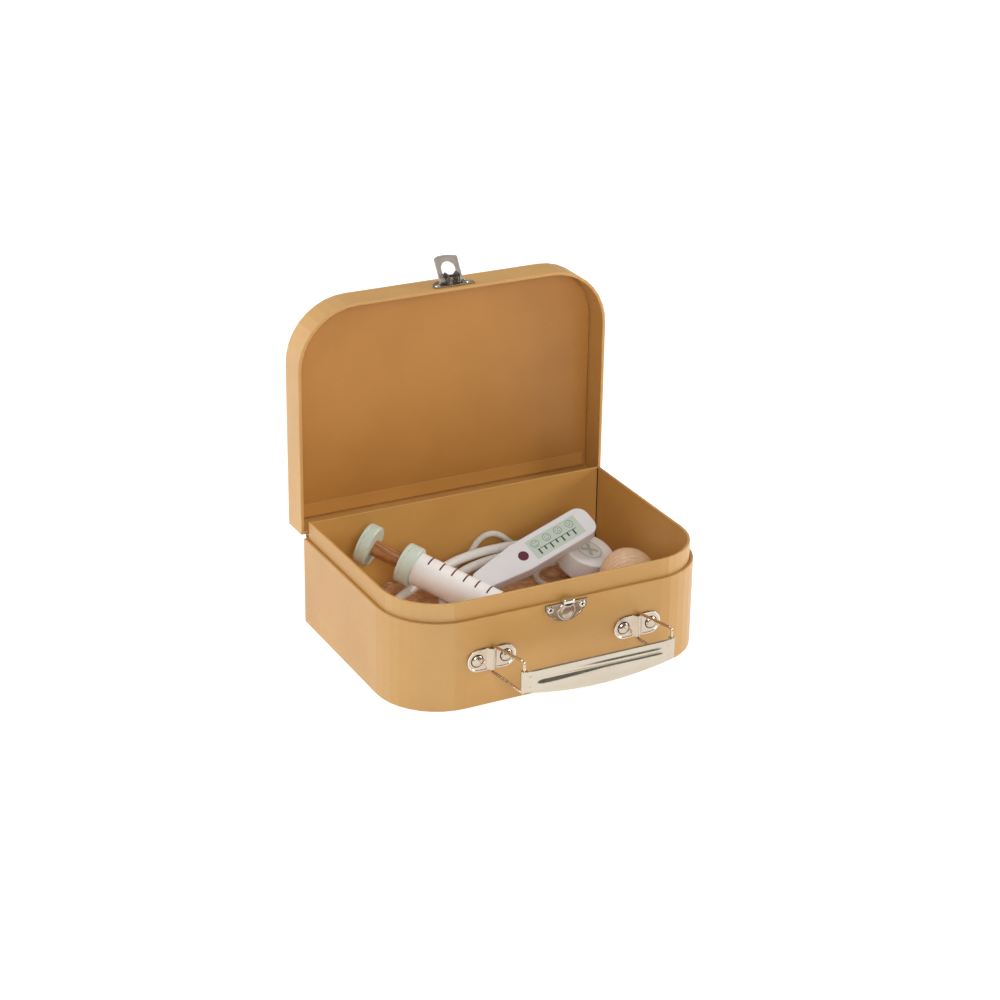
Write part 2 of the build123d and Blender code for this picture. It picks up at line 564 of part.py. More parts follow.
# ---------------------------------------------------------------- syringe
def make_syringe():
    """Toy syringe lying across the bed, its plunger drawn out."""
    axis = heading(SYRINGE_TURN, SYRINGE_DIP)
    frame = plane_at(SYRINGE_KNOB, axis)

    def place(shape):
        return frame.location * shape

    def turned(radius, low, high, rounding, cut):
        body = Pos(0, 0, (low + high) / 2) * Cylinder(radius, high - low)
        return fillet(body.edges(), rounding) - groove(radius, low + cut)

    flange_low = KNOB_TO_FLANGE - FLANGE_T / 2
    flange_high = KNOB_TO_FLANGE + FLANGE_T / 2
    knob = turned(KNOB_R, -KNOB_T / 2, KNOB_T / 2, WOOD_ROUND, KNOB_GROOVE)
    write(lay(place(knob)), "plunger_knob")
    bore = BARREL_BORE_R
    floor = BARREL_END - BARREL_END_T
    piston_end = flange_high + 4.0 + PISTON_T
    rod_l = piston_end - PISTON_T - KNOB_T / 2
    rod = Pos(0, 0, KNOB_T / 2 + rod_l / 2) * Cylinder(ROD_R, rod_l)
    write(lay(place(rod)), "plunger_rod")
    piston = Pos(0, 0, piston_end - PISTON_T / 2) * Cylinder(PISTON_R, PISTON_T)
    write(lay(place(piston)), "plunger_piston")
    ring = turned(FLANGE_R, flange_low, flange_high, WOOD_ROUND, FLANGE_GROOVE)
    ring = ring - Pos(0, 0, KNOB_TO_FLANGE) * Cylinder(ROD_R + ROD_BORE_FIT, FLANGE_T + 1)
    write(lay(place(ring)), "syringe_flange")
    barrel = Pos(0, 0, (flange_high + BARREL_END) / 2) * Cylinder(BARREL_R, BARREL_END - flange_high)
    barrel = fillet(barrel.edges().sort_by(Axis.Z)[-1], WOOD_ROUND)
    barrel = barrel - Pos(0, 0, (flange_high + floor) / 2) * Cylinder(bore, floor - flange_high)
    write(lay(place(barrel)), "syringe_barrel")
    nozzle = Pos(0, 0, BARREL_END + NOZZLE_L / 2) * Cylinder(NOZZLE_R, NOZZLE_L)
    nozzle = fillet(nozzle.edges().sort_by(Axis.Z)[-1], WOOD_ROUND)
    write(lay(place(nozzle)), "syringe_nozzle")


# ---------------------------------------------------------------- thermometer
def thermometer_frame():
    """Plane of the thermometer's face: x back along the body, y across it, z out of it."""
    t, p, r = (math.radians(v) for v in (THERMO_TURN, THERMO_RISE, THERMO_ROLL))
    length = Vector(math.cos(p) * math.cos(t), math.cos(p) * math.sin(t), math.sin(p))
    side = Vector(0, 0, 1).cross(length).normalized()
    flat = length.cross(side)
    normal = flat * math.cos(r) - side * math.sin(r)
    return Plane(origin=THERMO_END, x_dir=length, z_dir=normal)


def make_thermometer():
    """Flat thermometer that tapers to its tip, the broad end propped up."""
    half, tip = THERMO_W / 2, THERMO_TIP_W / 2
    plan = make_face(Polyline((0, half), (-THERMO_TAPER_AT, half), (-THERMO_L, tip),
                              (-THERMO_L, -tip), (-THERMO_TAPER_AT, -half), (0, -half), close=True))
    plan = fillet(plan.vertices().sort_by(Axis.X)[-2:], THERMO_ROUND)
    plan = fillet(plan.vertices().sort_by(Axis.X)[:2], tip * 0.8)
    body = extrude(plan, -THERMO_T)
    body = fillet(body.faces().sort_by(Axis.Z)[-1].edges(), THERMO_EDGE)
    body = fillet(body.faces().sort_by(Axis.Z)[0].edges(), THERMO_EDGE)
    write(lay(thermometer_frame().location * body), "thermometer_body")


# ---------------------------------------------------------------- stethoscope
YOKE_IN = (49.5, 58.8, 35.2)         # middle of the yoke's face with the two tubes
YOKE_TURN = -27.0
YOKE_TILT = 24.0                     # roll of that face, the long tube's side higher
YOKE_SPREAD = 8.8                    # distance between the two tubes
TUBE_LEAD = 8.0                      # straight lead of each tube into the yoke
LONG_TUBE = [(30.5, 69.8, 36.4), (15.0, 71.0, 35.6), (1.7, 69.2, 35.1), (-10.6, 66.2, 34.8),
             (-23.5, 61.0, 34.0), (-35.5, 54.8, 32.8), (-47.0, 49.6, 31.9), (-57.0, 44.8, 31.2),
             (-66.0, 39.4, 30.4), (-75.0, 32.8, 29.8), (-82.0, 27.0, 29.2)]
SHORT_TUBE = [(27.0, 63.2, 31.6), (16.5, 63.6, 30.8), (4.0, 61.4, 30.2), (-9.0, 55.5, 30.6),
              (-21.5, 47.0, 30.4), (-33.0, 36.0, 28.8), (-42.0, 23.0, 27.2), (-48.4, 8.0, 25.2)]
ROPE = [(74.2, 46.2, 33.2), (85.9, 49.6, 31.4), (92.0, 59.3, 29.8), (90.3, 71.0, 28.6),
        (81.4, 78.8, 28.2), (66.0, 78.8, 28.6), (47.8, 78.8, 29.2), (31.4, 78.8, 45.8),
        (16.2, 78.8, 44.4), (7.2, 78.8, 30.0), (-7.6, 75.2, 26.6), (-14.0, 62.6, 24.8),
        (-19.4, 53.0, 23.7), (-28.0, 43.0, 22.6), (-34.6, 31.0, 21.4), (-37.4, 17.0, 20.0),
        (-35.4, 2.0, 18.5), (-29.4, -12.0, 17.0), (-20.4, -25.4, 15.6), (-8.0, -36.0, 14.8),
        (7.0, -42.4, 14.4), (24.0, -42.0, 14.4), (41.0, -35.6, 15.4), (52.8, -23.0, 17.0),
        (56.0, -8.0, 18.8), (50.0, 6.6, 21.4), (41.6, 20.2, 23.4), (40.9, 35.3, 24.8),
        (50.4, 45.6, 26.0), (64.4, 45.2, 27.8)]


def yoke_frame():
    """Plane of the yoke's inner face, x across the two tubes, z towards the cord."""
    axis = Vector(*heading(YOKE_TURN, 4.0))
    across = Vector(0, 0, 1).cross(axis).normalized()
    lift = axis.cross(across)
    roll = math.radians(YOKE_TILT)
    return Plane(origin=YOKE_IN, x_dir=across * math.cos(roll) + lift * math.sin(roll), z_dir=axis)


def make_stethoscope():
    """Headset tubes with ear tips, the yoke, and the braided cord, which is returned."""
    frame = yoke_frame()
    half = YOKE_SPREAD / 2
    broad = frame * SlotOverall(YOKE_SPREAD + 2 * YOKE_R, 2 * YOKE_R)
    narrow = frame.offset(YOKE_L) * SlotOverall(2 * YOKE_NOSE_R + 1.0, 2 * YOKE_NOSE_R)
    yoke = loft([broad.face(), narrow.face()])
    for name, side, route in (("long", 1, LONG_TUBE), ("short", -1, SHORT_TUBE)):
        start = frame.from_local_coords(Vector(side * half, 0, 0))
        lead = start - frame.z_dir * TUBE_LEAD
        points = [tuple(start), tuple(lead)] + route
        write(lay(tube(points, TUBE_R, f"headset_tube_{name}")), f"headset_tube_{name}")
        before, end = Vector(*points[-2]), Vector(*points[-1])
        tip_frame = plane_at(points[-1], tuple(end - before))
        tip = Pos(0, 0, EAR_L / 2) * Cylinder(EAR_R, EAR_L)
        tip = fillet(tip.edges().sort_by(Axis.Z)[-1], EAR_R * 0.8)
        tip = fillet(tip.edges().sort_by(Axis.Z)[0], EAR_R * 0.3)
        write(lay(tip_frame.location * tip), f"ear_tip_{name}")
    start = frame.from_local_coords(Vector(0, 0, YOKE_L))
    route = [tuple(start)] + ROPE + [tuple(cord_end())]
    cord = tube(route, ROPE_R, "stethoscope_rope")
    write(lay(cord), "stethoscope_rope")
    write(lay(yoke - cord), "stethoscope_yoke")
    return cord


def cord_end():
    """Bottom of the cord's hole in the side of the chest piece."""
    middle = Vector(*CHEST_FACE) - Vector(*heading(CHEST_TURN, CHEST_TILT - 90)) * CHEST_CORD_AT
    inwards = (middle - Vector(*ROPE[-1])).normalized()
    return middle - inwards * (CHEST_R - CORD_HOLE)


def make_chest_piece(cord):
    """Turned chest piece with an inlaid face disc and a hole for the cord's end."""
    normal = heading(CHEST_TURN, CHEST_TILT - 90)
    frame = plane_at(CHEST_FACE, normal)
    body = fillet((Pos(0, 0, -CHEST_T / 2) * Cylinder(CHEST_R, CHEST_T)).edges(), CHEST_ROUND)
    seat = Pos(0, 0, -DISC_T / 2) * Cylinder(DISC_R, DISC_T)
    write(lay(frame.location * (body - seat) - cord), "chest_piece")
    write(lay(frame.location * seat), "chest_piece_disc")


# ---------------------------------------------------------------- hammer
def make_hammer():
    """Reflex hammer: a beech ball on a dowel that dips into the bed."""
    axis = heading(HAMMER_TURN, HAMMER_DIP)
    frame = plane_at(BALL_CENTRE, axis)
    ball = Pos(*BALL_CENTRE) * Sphere(BALL_R)
    dowel = Pos(0, 0, HAMMER_L / 2) * Cylinder(HAMMER_R, HAMMER_L)
    dowel = frame.location * fillet(dowel.edges().sort_by(Axis.Z)[-1], WOOD_ROUND)
    write(lay(ball), "hammer_head")
    write(lay(dowel - ball), "hammer_handle")


# ---------------------------------------------------------------- paper bed
def make_bed():
    """Packing paper that fills the lower half of the case and carries the instruments."""
    inset = ROOM_IN + FILL_PLAY
    high = FILL_Z + FILL_RISE * CASE_D
    body = board(CASE_W, CASE_D, CORNER_R, inset, ROOM_FLOOR, high)
    slope = math.degrees(math.atan(FILL_RISE))
    cutter = Pos(0, 0, FILL_Z) * Rot(slope, 0, 0) * Pos(0, 0, 60) * Box(400, 400, 120)
    body = body - lay(cutter)
    room = board(CASE_W, CASE_D, CORNER_R, inset, ROOM_FLOOR, 60)
    for x, y, top, radius in MOUNDS:
        body = body + (lay(Pos(x, y, top - radius) * Sphere(radius)) & room)
    write(body, "paper_bed")


os.makedirs("parts", exist_ok=True)
make_base()
make_lid()
make_catch()
make_latch()
make_brackets()
make_bails()
make_grip()
make_syringe()
make_thermometer()
make_chest_piece(make_stethoscope())
make_hammer()
make_bed()
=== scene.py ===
"""Toy doctor's case of kraft-covered board with its instruments, dressed over its CAD frame.

The frame gives every rigid piece and its place. This file gives each piece its finish, and makes what
needs more than the frame has: the braided cord, the crumpled packing paper, the rolled and pressed metal,
the turned wood with its grooves, and the prints.
"""

import logging
import math
from dataclasses import dataclass
from enum import Enum

import bpy
import numpy as np
from mathutils import Matrix, Vector, noise

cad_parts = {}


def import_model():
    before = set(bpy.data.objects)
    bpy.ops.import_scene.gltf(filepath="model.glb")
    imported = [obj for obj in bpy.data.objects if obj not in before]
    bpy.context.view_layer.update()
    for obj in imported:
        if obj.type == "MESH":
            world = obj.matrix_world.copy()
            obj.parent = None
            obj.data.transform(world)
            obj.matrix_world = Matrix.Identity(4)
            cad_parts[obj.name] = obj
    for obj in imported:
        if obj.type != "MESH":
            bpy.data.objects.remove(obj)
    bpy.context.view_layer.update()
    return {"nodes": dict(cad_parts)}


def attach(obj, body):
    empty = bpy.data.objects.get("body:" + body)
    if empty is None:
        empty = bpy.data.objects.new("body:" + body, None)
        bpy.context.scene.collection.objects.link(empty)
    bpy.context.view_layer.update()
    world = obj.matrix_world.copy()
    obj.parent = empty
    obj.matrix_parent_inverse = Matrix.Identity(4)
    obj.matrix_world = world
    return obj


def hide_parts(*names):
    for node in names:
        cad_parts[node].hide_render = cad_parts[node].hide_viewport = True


LOG = logging.getLogger("doctor_case")
MM = 0.001

Point = tuple[float, float, float]
Flat = tuple[float, float]
Faces = list[tuple[int, ...]]
Part = tuple[np.ndarray, Faces]  # corners in millimetres, and faces as corner numbers
Tree = bpy.types.NodeTree
Socket = bpy.types.NodeSocket


class Body(Enum):
    """Bodies of the frame that the made pieces ride on."""

    CASE = "case"
    LID = "lid"
    GRIP = "grip"
    PLUNGER = "plunger"


class Grain(Enum):
    """Which way the fibres of a wooden piece run: degrees round from +X, and degrees below the level."""

    SYRINGE = (-49.7, 16.6)
    HAMMER = (157.7, 10.4)


def linear(colour: str) -> tuple[float, float, float, float]:
    """Turn an sRGB hex colour to linear light.

    Args:
        colour: Colour such as "#C79A5E".

    Returns:
        Red, green, blue and full alpha.
    """
    parts = [int(colour[i : i + 2], 16) / 255 for i in (1, 3, 5)]
    light = [c / 12.92 if c <= 0.04045 else ((c + 0.055) / 1.055) ** 2.4 for c in parts]
    return (light[0], light[1], light[2], 1.0)


def heading(turn: float, dip: float) -> Vector:
    """Unit vector turned from +X and dipped below the level.

    Args:
        turn: Degrees round from +X.
        dip: Degrees below the level.

    Returns:
        The vector.
    """
    t, d = math.radians(turn), math.radians(dip)
    return Vector((math.cos(d) * math.cos(t), math.cos(d) * math.sin(t), -math.sin(d)))


def frame_at(origin: Point, axis: Vector) -> Matrix:
    """Place whose z runs along an axis and whose y is as upright as it can be.

    Args:
        origin: Origin in millimetres.
        axis: Direction of the place's z.

    Returns:
        Matrix from the place's millimetres to the model's.
    """
    z = axis.normalized()
    x = Vector((0, 0, 1)).cross(z).normalized()
    y = z.cross(x)
    place = Matrix((x, y, z)).transposed().to_4x4()
    place.translation = Vector(origin)
    return place


# ---------------------------------------------------------------- finishes


def add_node(tree: Tree, kind: str, inputs: dict | None = None, **settings) -> bpy.types.Node:
    """Add a node with its settings and links.

    Args:
        tree: Node tree of a material or the world.
        kind: Blender's name of the node type.
        inputs: Socket name or number to a value, or to a socket that feeds it.
        **settings: Attributes of the node.

    Returns:
        The node.
    """
    node = tree.nodes.new(kind)
    for name, value in settings.items():
        setattr(node, name, value)
    for name, value in (inputs or {}).items():
        socket = node.inputs[name]
        if isinstance(value, Socket):
            tree.links.new(value, socket)
        else:
            socket.default_value = value
    return node


def start_material(name: str) -> tuple[bpy.types.Material, Tree, Socket]:
    """New material with an output and coordinates in millimetres.

    Args:
        name: The finish's name.

    Returns:
        The material, its node tree and the coordinates' socket.
    """
    material = bpy.data.materials.new(name)
    material.use_nodes = True
    tree = material.node_tree
    tree.nodes.clear()
    coord = add_node(tree, "ShaderNodeTexCoord")
    scaled = add_node(tree, "ShaderNodeMapping", {"Vector": coord.outputs["Object"], "Scale": (1000, 1000, 1000)})
    return material, tree, scaled.outputs["Vector"]


def speckle(tree: Tree, coord: Socket, size: float, detail: float = 3.0,
            stretch: Point = (1, 1, 1), turn: Point = (0, 0, 0)) -> Socket:
    """Cloudy pattern with spots of a real size.

    Args:
        tree: Node tree.
        coord: Coordinates in millimetres.
        size: Size of a spot in millimetres.
        detail: How many finer layers it has.
        stretch: How many times longer the spots are along each axis.
        turn: Rotation of the pattern in degrees.

    Returns:
        Socket with values round a half.
    """
    scale = tuple(1.0 / (size * s) for s in stretch)
    angles = tuple(math.radians(a) for a in turn)
    aligned = add_node(tree, "ShaderNodeMapping", {"Vector": coord, "Rotation": angles})
    fitted = add_node(tree, "ShaderNodeMapping", {"Vector": aligned.outputs["Vector"], "Scale": scale})
    cloud = add_node(tree, "ShaderNodeTexNoise", {"Vector": fitted.outputs["Vector"], "Scale": 1.0, "Detail": detail})
    return cloud.outputs["Fac"]


def ramp(tree: Tree, value: Socket, low: float, high: float,
         to_low: float = 0.0, to_high: float = 1.0) -> Socket:
    """Stretch a value's range and clamp it.

    Args:
        tree: Node tree.
        value: Socket to stretch.
        low: Value that becomes to_low.
        high: Value that becomes to_high.
        to_low: New low end.
        to_high: New high end.

    Returns:
        Socket with the new value.
    """
    node = add_node(tree, "ShaderNodeMapRange", {"Value": value, "From Min": low, "From Max": high,
                                                 "To Min": to_low, "To Max": to_high})
    return node.outputs["Result"]


def tint(tree: Tree, factor: Socket | float, a: Socket | str,
         b: Socket | str) -> Socket:
    """Mix two colours.

    Args:
        tree: Node tree.
        factor: Share of the second colour.
        a: First colour, a socket or a hex value.
        b: Second colour.

    Returns:
        Socket with the colour.
    """
    pair = [linear(c) if isinstance(c, str) else c for c in (a, b)]
    node = add_node(tree, "ShaderNodeMix", {0: factor, 6: pair[0], 7: pair[1]}, data_type="RGBA")
    return node.outputs[2]


def combine(tree: Tree, a: Socket | float, b: Socket | float,
            operation: str = "MULTIPLY") -> Socket:
    """Combine two values.

    Args:
        tree: Node tree.
        a: First value.
        b: Second value.
        operation: Name of the operation.

    Returns:
        Socket with the result.
    """
    return add_node(tree, "ShaderNodeMath", {0: a, 1: b}, operation=operation).outputs[0]


def soft_edges(tree: Tree, radius: float) -> tuple[Socket, Socket]:
    """Normal that is rounded along edges, and how near an edge each point is.

    Args:
        tree: Node tree.
        radius: Rounding in millimetres.

    Returns:
        Socket of the normal, and socket that is 0 on a face and grows to an edge.
    """
    bevel = add_node(tree, "ShaderNodeBevel", {"Radius": radius * MM}, samples=6)
    true = add_node(tree, "ShaderNodeNewGeometry")
    dot = add_node(tree, "ShaderNodeVectorMath", {0: bevel.outputs[0], 1: true.outputs["Normal"]},
                   operation="DOT_PRODUCT")
    return bevel.outputs[0], ramp(tree, dot.outputs["Value"], 0.995, 0.80)


def flat_painted_highlight(tree: Tree) -> Socket:
    """Paler tone on each scored flat of a round corner, set by the way that it faces: a painted highlight.

    Args:
        tree: Node tree.

    Returns:
        Socket that is 0 on the large walls and 0 to 1 on the scored corner faces.
    """
    normal = add_node(tree, "ShaderNodeTexCoord").outputs["Normal"]
    size = add_node(tree, "ShaderNodeVectorMath", {0: normal}, operation="ABSOLUTE").outputs["Vector"]
    part = add_node(tree, "ShaderNodeSeparateXYZ", {0: size})
    most = combine(tree, part.outputs["X"], part.outputs["Y"], "MAXIMUM")
    corner = ramp(tree, combine(tree, most, part.outputs["Z"], "MAXIMUM"), 0.998, 0.985)
    return combine(tree, corner, ramp(tree, speckle(tree, normal, 150, 0), 0.36, 0.64))


def outward(tree: Tree, coord: Socket) -> Socket:
    """Which side of a wall a point is on.

    Args:
        tree: Node tree.
        coord: Socket of the coordinates.

    Returns:
        Socket that is 1 on faces that look away from the middle and 0 on those that look in.
    """
    normal = add_node(tree, "ShaderNodeTexCoord").outputs["Normal"]
    dot = add_node(tree, "ShaderNodeVectorMath", {0: coord, 1: normal}, operation="DOT_PRODUCT")
    return ramp(tree, dot.outputs["Value"], 0.0, 0.004)


def rough_normal(tree: Tree, height: Socket, depth: float,
                 normal: Socket | None = None) -> Socket:
    """Bump a surface.

    Args:
        tree: Node tree.
        height: Socket with the relief, 0 to 1.
        depth: Depth of the relief in millimetres.
        normal: Normal to start from.

    Returns:
        Socket of the bumped normal.
    """
    inputs = {"Height": height, "Strength": 1.0, "Distance": depth * MM}
    if normal is not None:
        inputs["Normal"] = normal
    return add_node(tree, "ShaderNodeBump", inputs).outputs["Normal"]


def close_material(material: bpy.types.Material, inputs: dict) -> bpy.types.Material:
    """Finish a material with its shader.

    Args:
        material: Material under way.
        inputs: Inputs of the principled shader.

    Returns:
        The material.
    """
    tree = material.node_tree
    shader = add_node(tree, "ShaderNodeBsdfPrincipled", inputs)
    add_node(tree, "ShaderNodeOutputMaterial", {"Surface": shader.outputs[0]})
    return material


@dataclass(frozen=True)
class KraftBoard:
    """Grey board covered with calendered kraft paper under a satin varnish.

    The paper gives the eye an even golden tan with slow clouds, faint fibres, pale worn edges and painted highlight
    on the scored corner faces.
    """

    name: str
    paper: str
    blotch: str
    fibre: str = "#94673A"
    # pale tone of the fibres and worn edges, and of the painted highlight on the scored corner faces
    pale_wear_and_highlight: str = "#E2C491"
    rough: float = 0.42
    coat: float = 0.2
    wear: float = 0.5
    flat_highlight: float = 0.0  # how much paler the scored corner faces are painted: painted highlight
    outer: str = ""  # tone of the outward side; where given, the inward faces keep the lighter paper as painted light
    cloud_size: float = 48.0  # slow change of tone across a sheet, in millimetres
    fibre_size: float = 0.4  # real fibres are thinner than 0.1 mm, drawn coarse enough to show

    def make(self) -> bpy.types.Material:
        """Build the material."""
        material, tree, coord = start_material(self.name)
        cloud = ramp(tree, speckle(tree, coord, self.cloud_size, 2), 0.35, 0.68)
        fine = ramp(tree, speckle(tree, coord, 3.2, 5), 0.3, 0.7)
        colour = tint(tree, combine(tree, cloud, 0.6), self.paper, self.blotch)
        colour = tint(tree, combine(tree, fine, 0.14), colour, self.blotch)
        # painted light: the inward faces keep the lighter paper, the outward ones take the outer tone
        if self.outer:
            colour = tint(tree, outward(tree, coord), colour, self.outer)
        along = ramp(tree, speckle(tree, coord, self.fibre_size, 2, (9, 1, 1), (0, 0, 8)), 0.60, 0.76)
        across = ramp(tree, speckle(tree, coord, self.fibre_size, 2, (1, 1, 8), (12, 0, 0)), 0.61, 0.77)
        fibres = combine(tree, along, across, "MAXIMUM")
        colour = tint(tree, combine(tree, fibres, 0.12), colour, self.fibre)
        pale = ramp(tree, speckle(tree, coord, self.fibre_size, 2, (7, 1, 3), (0, 20, 70)), 0.62, 0.80)
        colour = tint(tree, combine(tree, pale, 0.12), colour, self.pale_wear_and_highlight)
        rounded, edge = soft_edges(tree, 0.45)
        chipped = combine(tree, edge, ramp(tree, speckle(tree, coord, 3.5, 4), 0.34, 0.62))
        colour = tint(tree, combine(tree, chipped, self.wear), colour, self.pale_wear_and_highlight)
        # painted highlight: the scored corner faces are painted paler
        if self.flat_highlight:
            colour = tint(tree, combine(tree, flat_painted_highlight(tree), self.flat_highlight), colour, self.pale_wear_and_highlight)
        relief = combine(tree, speckle(tree, coord, 1.1, 3), combine(tree, fibres, 0.3), "ADD")
        normal = rough_normal(tree, relief, 0.014, rounded)
        dull = ramp(tree, fine, 0, 1, self.rough - 0.03, self.rough + 0.05)
        return close_material(material, {"Base Color": colour, "Roughness": dull, "Normal": normal,
                                         "IOR": 1.5, "Coat Weight": self.coat, "Coat Roughness": 0.3})


@dataclass(frozen=True)
class KraftPaper:
    """Uncoated kraft packing paper, crumpled by hand: matt, lighter on its ridges, with painted shade in its hollows.
    """

    name: str = "crumpled_kraft_paper"
    paper: str = "#D2986A"
    # darker tone of the clouds and streaks, and the painted shade of the hollows
    shade: str = "#A56C46"
    crease: str = "#EBC7A0"

    def make(self) -> bpy.types.Material:
        """Build the material."""
        material, tree, coord = start_material(self.name)
        cloud = ramp(tree, speckle(tree, coord, 9, 4), 0.35, 0.68)
        colour = tint(tree, combine(tree, cloud, 0.7), self.paper, self.shade)
        streak = ramp(tree, speckle(tree, coord, 0.9, 4, (12, 1, 2), (0, 0, 35)), 0.44, 0.66)
        colour = tint(tree, combine(tree, streak, 0.5), colour, self.crease)
        dark = ramp(tree, speckle(tree, coord, 1.2, 3, (10, 1, 2), (0, 0, 35)), 0.52, 0.72)
        colour = tint(tree, combine(tree, dark, 0.5), colour, self.shade)
        slope = add_node(tree, "ShaderNodeNewGeometry")
        ridge = ramp(tree, slope.outputs["Pointiness"], 0.52, 0.60)
        colour = tint(tree, combine(tree, ridge, 0.75), colour, self.crease)
        # painted shade: concave hollows are darkened
        hollow_shade = ramp(tree, slope.outputs["Pointiness"], 0.48, 0.42)
        colour = tint(tree, combine(tree, hollow_shade, 0.5), colour, self.shade)
        normal = rough_normal(tree, speckle(tree, coord, 1.4, 5), 0.25)
        return close_material(material, {"Base Color": colour, "Roughness": 0.72, "Normal": normal, "IOR": 1.5})


@dataclass(frozen=True)
class NickelPlate:
    """Bright nickel plate on pressed steel: warm clear reflections, a little wavy and softened by handling, with
    paler metal painted along its edges as highlight.
    """

    name: str
    metal: str = "#D9CFC0"
    rough: float = 0.2
    round_edge: float = 0.3

    def make(self) -> bpy.types.Material:
        """Build the material."""
        material, tree, coord = start_material(self.name)
        smudge = ramp(tree, speckle(tree, coord, 7, 3), 0.35, 0.7, self.rough - 0.03, self.rough + 0.06)
        rounded, edge = soft_edges(tree, self.round_edge)
        normal = rough_normal(tree, speckle(tree, coord, 12, 1), 0.03, rounded)
        patch = combine(tree, ramp(tree, speckle(tree, coord, 14, 3), 0.42, 0.75), 0.3)
        tone = tint(tree, patch, self.metal, "#BDB09D")
        # painted highlight: paler metal along the edges
        tone = tint(tree, combine(tree, edge, 0.35), tone, "#F0E9DC")
        return close_material(material, {"Base Color": tone, "Metallic": 1.0, "Roughness": smudge, "Normal": normal})


@dataclass(frozen=True)
class PaintedShadeBlack:
    """Near black standing in for shade: painted shade in the eyelet holes, in the hook's opening, round the bracket
    rivets and in the liner's back corners, and on the latch's bridge, whose edges are pale with wear and painted
    highlight.
    """

    name: str = "painted_shade_black"
    pale_wear_and_highlight: float = 0.0

    def make(self) -> bpy.types.Material:
        """Build the material."""
        material, tree, coord = start_material(self.name)
        colour = tint(tree, speckle(tree, coord, 0.8), "#221D19", "#40372F")
        rounded, edge = soft_edges(tree, 0.35)
        # pale edges: wear and painted highlight
        colour = tint(tree, combine(tree, edge, self.pale_wear_and_highlight), colour, "#E6DED0")
        return close_material(material, {"Base Color": colour, "Metallic": 0.8, "Roughness": 0.4,
                                         "Normal": rounded})


@dataclass(frozen=True)
class Lacquer:
    """Water-based toy lacquer brushed on turned wood: an even satin film, the grain just telling below."""

    name: str
    paint: str
    thin: str
    grain: Grain
    rough: float = 0.36

    def make(self) -> bpy.types.Material:
        """Build the material."""
        material, tree, coord = start_material(self.name)
        turn, dip = self.grain.value
        euler = (0.0, -dip, -turn)
        grain = ramp(tree, speckle(tree, coord, 0.8, 3, (18, 1, 1), euler), 0.35, 0.7)
        cloud = ramp(tree, speckle(tree, coord, 7, 3), 0.35, 0.7)
        colour = tint(tree, combine(tree, cloud, 0.35), self.paint, self.thin)
        colour = tint(tree, combine(tree, grain, 0.12), colour, self.thin)
        rounded, edge = soft_edges(tree, 0.5)
        colour = tint(tree, combine(tree, edge, 0.25), colour, self.thin)
        relief = combine(tree, combine(tree, grain, 0.6), combine(tree, speckle(tree, coord, 0.7, 3), 0.4), "ADD")
        normal = rough_normal(tree, relief, 0.035, rounded)
        dull = ramp(tree, cloud, 0, 1, self.rough - 0.05, self.rough + 0.06)
        return close_material(material, {"Base Color": colour, "Roughness": dull, "Normal": normal, "IOR": 1.5,
                                         "Coat Weight": 0.25, "Coat Roughness": 0.2})


@dataclass(frozen=True)
class OpenGrainWood:
    """Turned wood with its grain open to view, oiled or bare: rings, streaks and short dark pores."""

    name: str
    early: str
    late: str
    pore: str
    grain: Grain
    rough: float = 0.5
    ring: float = 2.4  # width of a year's growth in millimetres
    strong: float = 1.0  # how plain the rings are

    def make(self) -> bpy.types.Material:
        """Build the material."""
        material, tree, coord = start_material(self.name)
        turn, dip = self.grain.value
        euler = tuple(math.radians(a) for a in (0.0, -dip, -turn))
        aligned = add_node(tree, "ShaderNodeMapping", {"Vector": coord, "Rotation": euler}).outputs["Vector"]
        wobble = speckle(tree, aligned, 9, 2, (6, 1, 1))
        bands = add_node(tree, "ShaderNodeTexWave", {"Vector": aligned, "Scale": 1 / (self.ring * 3.2),
                                                     "Distortion": 5.0, "Detail": 3.0, "Detail Scale": 0.5},
                         wave_type="BANDS", bands_direction="Y")
        ring = combine(tree, bands.outputs["Fac"], wobble)
        colour = tint(tree, ramp(tree, ring, 0.05, 0.55, 0, self.strong), self.early, self.late)
        streak = ramp(tree, speckle(tree, aligned, 0.9, 4, (22, 1, 1)), 0.42, 0.66)
        colour = tint(tree, combine(tree, streak, 0.6), colour, self.late)
        pores = ramp(tree, speckle(tree, aligned, 0.5, 1, (7, 1, 1)), 0.60, 0.70)
        colour = tint(tree, combine(tree, pores, 0.55), colour, self.pore)
        relief = combine(tree, streak, pores, "SUBTRACT")
        normal = rough_normal(tree, relief, 0.04)
        return close_material(material, {"Base Color": colour, "Roughness": self.rough, "Normal": normal, "IOR": 1.5})


@dataclass(frozen=True)
class SoftPvc:
    """Soft white PVC, extruded for the tubes and moulded for the tips: smooth and a little translucent."""

    name: str
    colour: str
    rough: float = 0.34

    def make(self) -> bpy.types.Material:
        """Build the material."""
        material, tree, coord = start_material(self.name)
        cloud = ramp(tree, speckle(tree, coord, 6, 3), 0.35, 0.7)
        colour = tint(tree, combine(tree, cloud, 0.3), self.colour, "#DCDAD2")
        normal = rough_normal(tree, speckle(tree, coord, 1.2, 3), 0.02)
        return close_material(material, {"Base Color": colour, "Roughness": self.rough, "Normal": normal,
                                         "IOR": 1.46, "Subsurface Weight": 0.12,
                                         "Subsurface Radius": (0.002, 0.0018, 0.0015), "Subsurface Scale": 1.0})


